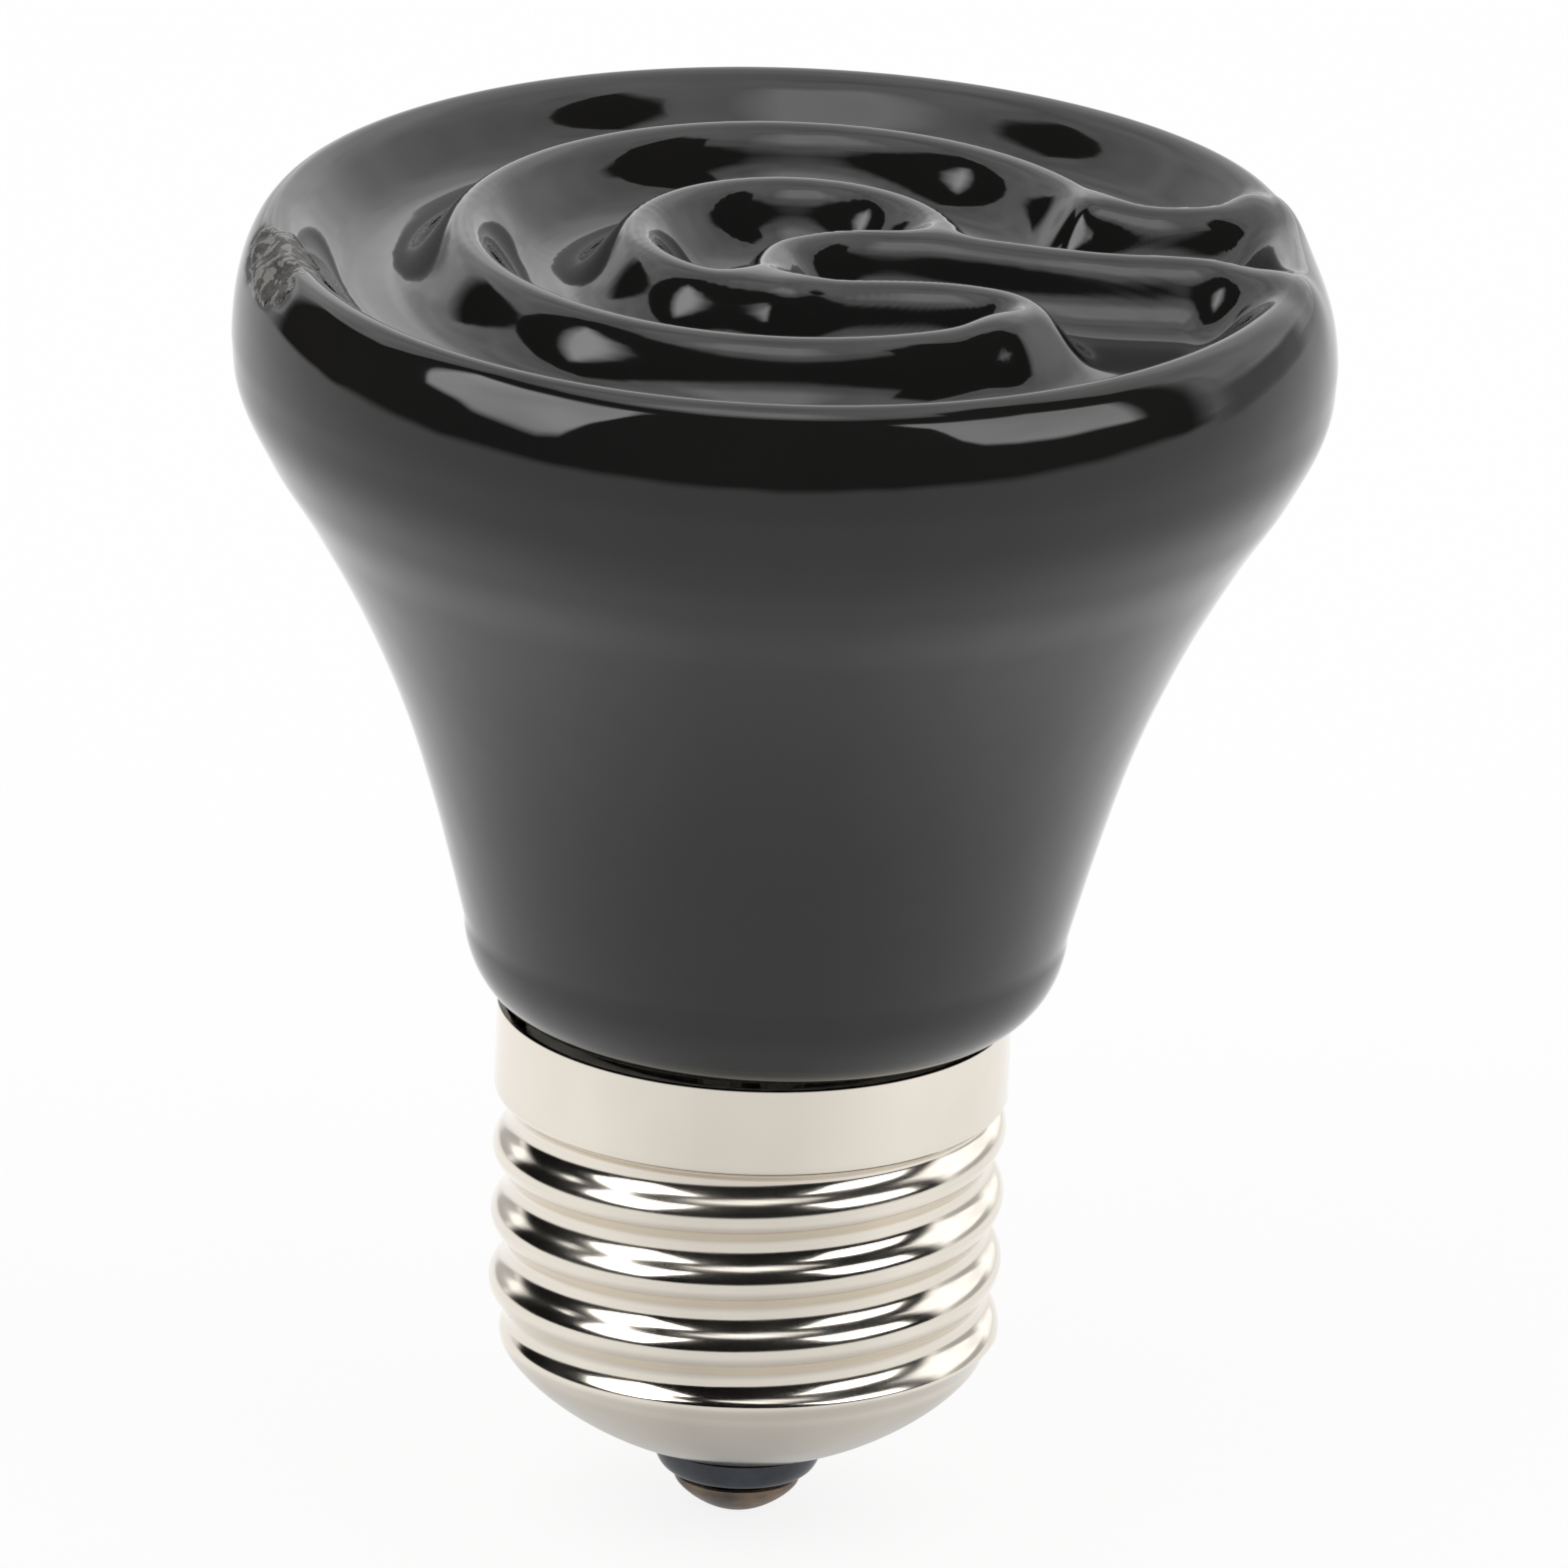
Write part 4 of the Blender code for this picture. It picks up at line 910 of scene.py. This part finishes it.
def build_world(level):
    """White background for the camera and for reflections, soft light for the rest."""
    world = bpy.data.worlds.new("studio")
    bpy.context.scene.world = world
    world.use_nodes = True
    nodes, links = world.node_tree.nodes, world.node_tree.links
    nodes.clear()
    light = nodes.new("ShaderNodeBackground")
    light.inputs["Strength"].default_value = level
    white = nodes.new("ShaderNodeBackground")
    white.inputs["Strength"].default_value = 1.0
    for background in (light, white):
        background.inputs["Color"].default_value = (1.0, 1.0, 1.0, 1.0)
    mix = nodes.new("ShaderNodeMixShader")
    output = nodes.new("ShaderNodeOutputWorld")
    links.new(background_ray(nodes, links), mix.inputs["Fac"])
    links.new(light.outputs["Background"], mix.inputs[1])
    links.new(white.outputs["Background"], mix.inputs[2])
    links.new(mix.outputs["Shader"], output.inputs["Surface"])


def floor_painted_light_and_shade(material):
    """Brightness of the floor in reflections, painted light and shade: a painted shadow dim under the
    object, less painted light in front than at the sides.
    """
    nodes, links = material.node_tree.nodes, material.node_tree.links
    place = nodes.new("ShaderNodeTexCoord")
    split = nodes.new("ShaderNodeSeparateXYZ")
    links.new(place.outputs["Object"], split.inputs["Vector"])
    far = nodes.new("ShaderNodeVectorMath")
    far.operation = "LENGTH"
    links.new(place.outputs["Object"], far.inputs[0])
    near_share = math_node(material, "DIVIDE", far.outputs["Value"], FLOOR_REACH, clamp=True)
    ramp = nodes.new("ShaderNodeValToRGB")
    while len(ramp.color_ramp.elements) < len(FLOOR_PAINTED_SHADE_TONES):
        ramp.color_ramp.elements.new(0.5)
    for element, (share, tone) in zip(ramp.color_ramp.elements, FLOOR_PAINTED_SHADE_TONES):
        element.position = share
        element.color = (tone, tone, tone, 1.0)
    links.new(near_share, ramp.inputs["Fac"])
    forward = math_node(material, "MULTIPLY", split.outputs["Y"], -1.0)
    turn = math_node(material, "ABSOLUTE", math_node(material, "ARCTAN2", split.outputs["X"], forward), 0.0)
    spread = nodes.new("ShaderNodeMapRange")
    spread.inputs["From Min"].default_value = math.radians(FLOOR_SIDE_TURN[0])
    spread.inputs["From Max"].default_value = math.radians(FLOOR_SIDE_TURN[1])
    spread.inputs["To Min"].default_value = 1.0
    spread.inputs["To Max"].default_value = FLOOR_PAINTED_SIDE_LIGHT
    links.new(turn, spread.inputs["Value"])
    return math_node(material, "MULTIPLY", ramp.outputs["Color"], spread.outputs["Result"])


def white_emission(nodes):
    """A white emission shader at strength 1."""
    emission = nodes.new("ShaderNodeEmission")
    emission.inputs["Color"].default_value = (1.0, 1.0, 1.0, 1.0)
    return emission


def mix_shaders(material, share, first, second):
    """A mix of two shader outputs by a share from 0 to 1; returns its output."""
    mix = material.node_tree.nodes.new("ShaderNodeMixShader")
    for socket, value in zip(mix.inputs, (share, first, second)):
        material.node_tree.links.new(value, socket)
    return mix.outputs["Shader"]


def floor_material():
    """White to the camera, its painted shadow and painted light in reflections, see-through from below."""
    material = bpy.data.materials.new("studio_floor_paint_and_painted_shade")
    material.use_nodes = True
    nodes, links = material.node_tree.nodes, material.node_tree.links
    nodes.clear()
    paint = nodes.new("ShaderNodeBsdfDiffuse")
    paint.inputs["Color"].default_value = (FLOOR_PAINT, FLOOR_PAINT, FLOOR_PAINT, 1.0)
    plain = white_emission(nodes)
    glow = white_emission(nodes)
    # painted shadow under the object and painted light towards the sides, seen only in reflections
    links.new(floor_painted_light_and_shade(material), glow.inputs["Strength"])
    camera_ray = nodes.new("ShaderNodeLightPath").outputs["Is Camera Ray"]
    seen = mix_shaders(material, camera_ray, glow.outputs["Emission"], plain.outputs["Emission"])
    share = math_node(material, "MULTIPLY", background_ray(nodes, links), FLOOR_WHITE_SHARE)
    white = mix_shaders(material, share, paint.outputs["BSDF"], seen)
    clear = nodes.new("ShaderNodeBsdfTransparent")
    below = nodes.new("ShaderNodeNewGeometry").outputs["Backfacing"]
    finish = mix_shaders(material, below, white, clear.outputs["BSDF"])
    output = nodes.new("ShaderNodeOutputMaterial")
    links.new(finish, output.inputs["Surface"])
    return material


def build_floor():
    """Plain white floor that fades into the background."""
    corners = ((-1, -1), (1, -1), (1, 1), (-1, 1))
    vertices = [(x * FLOOR_HALF, y * FLOOR_HALF, 0) for x, y in corners]
    floor = mesh_object("studio_floor", vertices, [(0, 1, 2, 3)])
    floor.data.materials.append(floor_material())


def area_light(name, place, size, radiance):
    """A square lamp aimed at the middle of the object, left out of reflections."""
    data = bpy.data.lights.new(name, "AREA")
    data.shape = "SQUARE"
    data.size = size
    data.energy = radiance * math.pi * size * size
    lamp = bpy.data.objects.new(name, data)
    bpy.context.scene.collection.objects.link(lamp)
    lamp.location = place
    lamp.rotation_mode = "QUATERNION"
    lamp.rotation_quaternion = (CAMERA_TARGET - Vector(place)).to_track_quat("-Z", "Y")
    lamp.visible_camera = False
    lamp.visible_glossy = False


def build_camera():
    """The photograph's camera: long lens, 20 degrees above the face, turned a little."""
    data = bpy.data.cameras.new("photo_camera")
    data.lens = CAMERA_LENS
    data.sensor_width = 36.0
    data.clip_start = 0.1
    data.clip_end = 20.0
    camera = bpy.data.objects.new("photo_camera", data)
    bpy.context.scene.collection.objects.link(camera)
    back = Vector((0, -math.cos(CAMERA_ELEVATION), math.sin(CAMERA_ELEVATION)))
    level_up = Vector((0, math.sin(CAMERA_ELEVATION), math.cos(CAMERA_ELEVATION)))
    level_right = Vector((1, 0, 0))
    right = level_right * math.cos(CAMERA_ROLL) + level_up * math.sin(CAMERA_ROLL)
    up = level_up * math.cos(CAMERA_ROLL) - level_right * math.sin(CAMERA_ROLL)
    turn = Matrix((right, up, back)).transposed()
    camera.matrix_world = Matrix.Translation(CAMERA_TARGET + back * CAMERA_DISTANCE) @ turn.to_4x4()
    bpy.context.scene.camera = camera


def build_studio():
    """Floor, background, lamps and the cards that the glaze and the nickel reflect."""
    build_world(WORLD_LEVEL)
    build_floor()
    for lamp in LAMPS:
        area_light(*lamp)
    for card in STUDIO_CARDS:
        reflected_card(*card)


def dress_piece(piece, material, node):
    """Finish a piece of the scene and let it stand in for the CAD's node."""
    piece.data.materials.append(material)
    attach(piece, "root")
    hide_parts(node)


def main():
    """Dress the frame's pieces and build the studio around them."""
    dress_piece(build_bell(), glaze_material(), "ceramic_body")
    dress_piece(build_screw_shell(), nickel_material(), "screw_shell")
    dress_piece(build_insulator(), glass_material(), "cap_insulator")
    dress_piece(build_contact(), contact_material(), "centre_contact")
    dress_cad_nodes()
    build_studio()
    build_camera()
    bpy.context.scene.view_settings.view_transform = "Standard"


main()
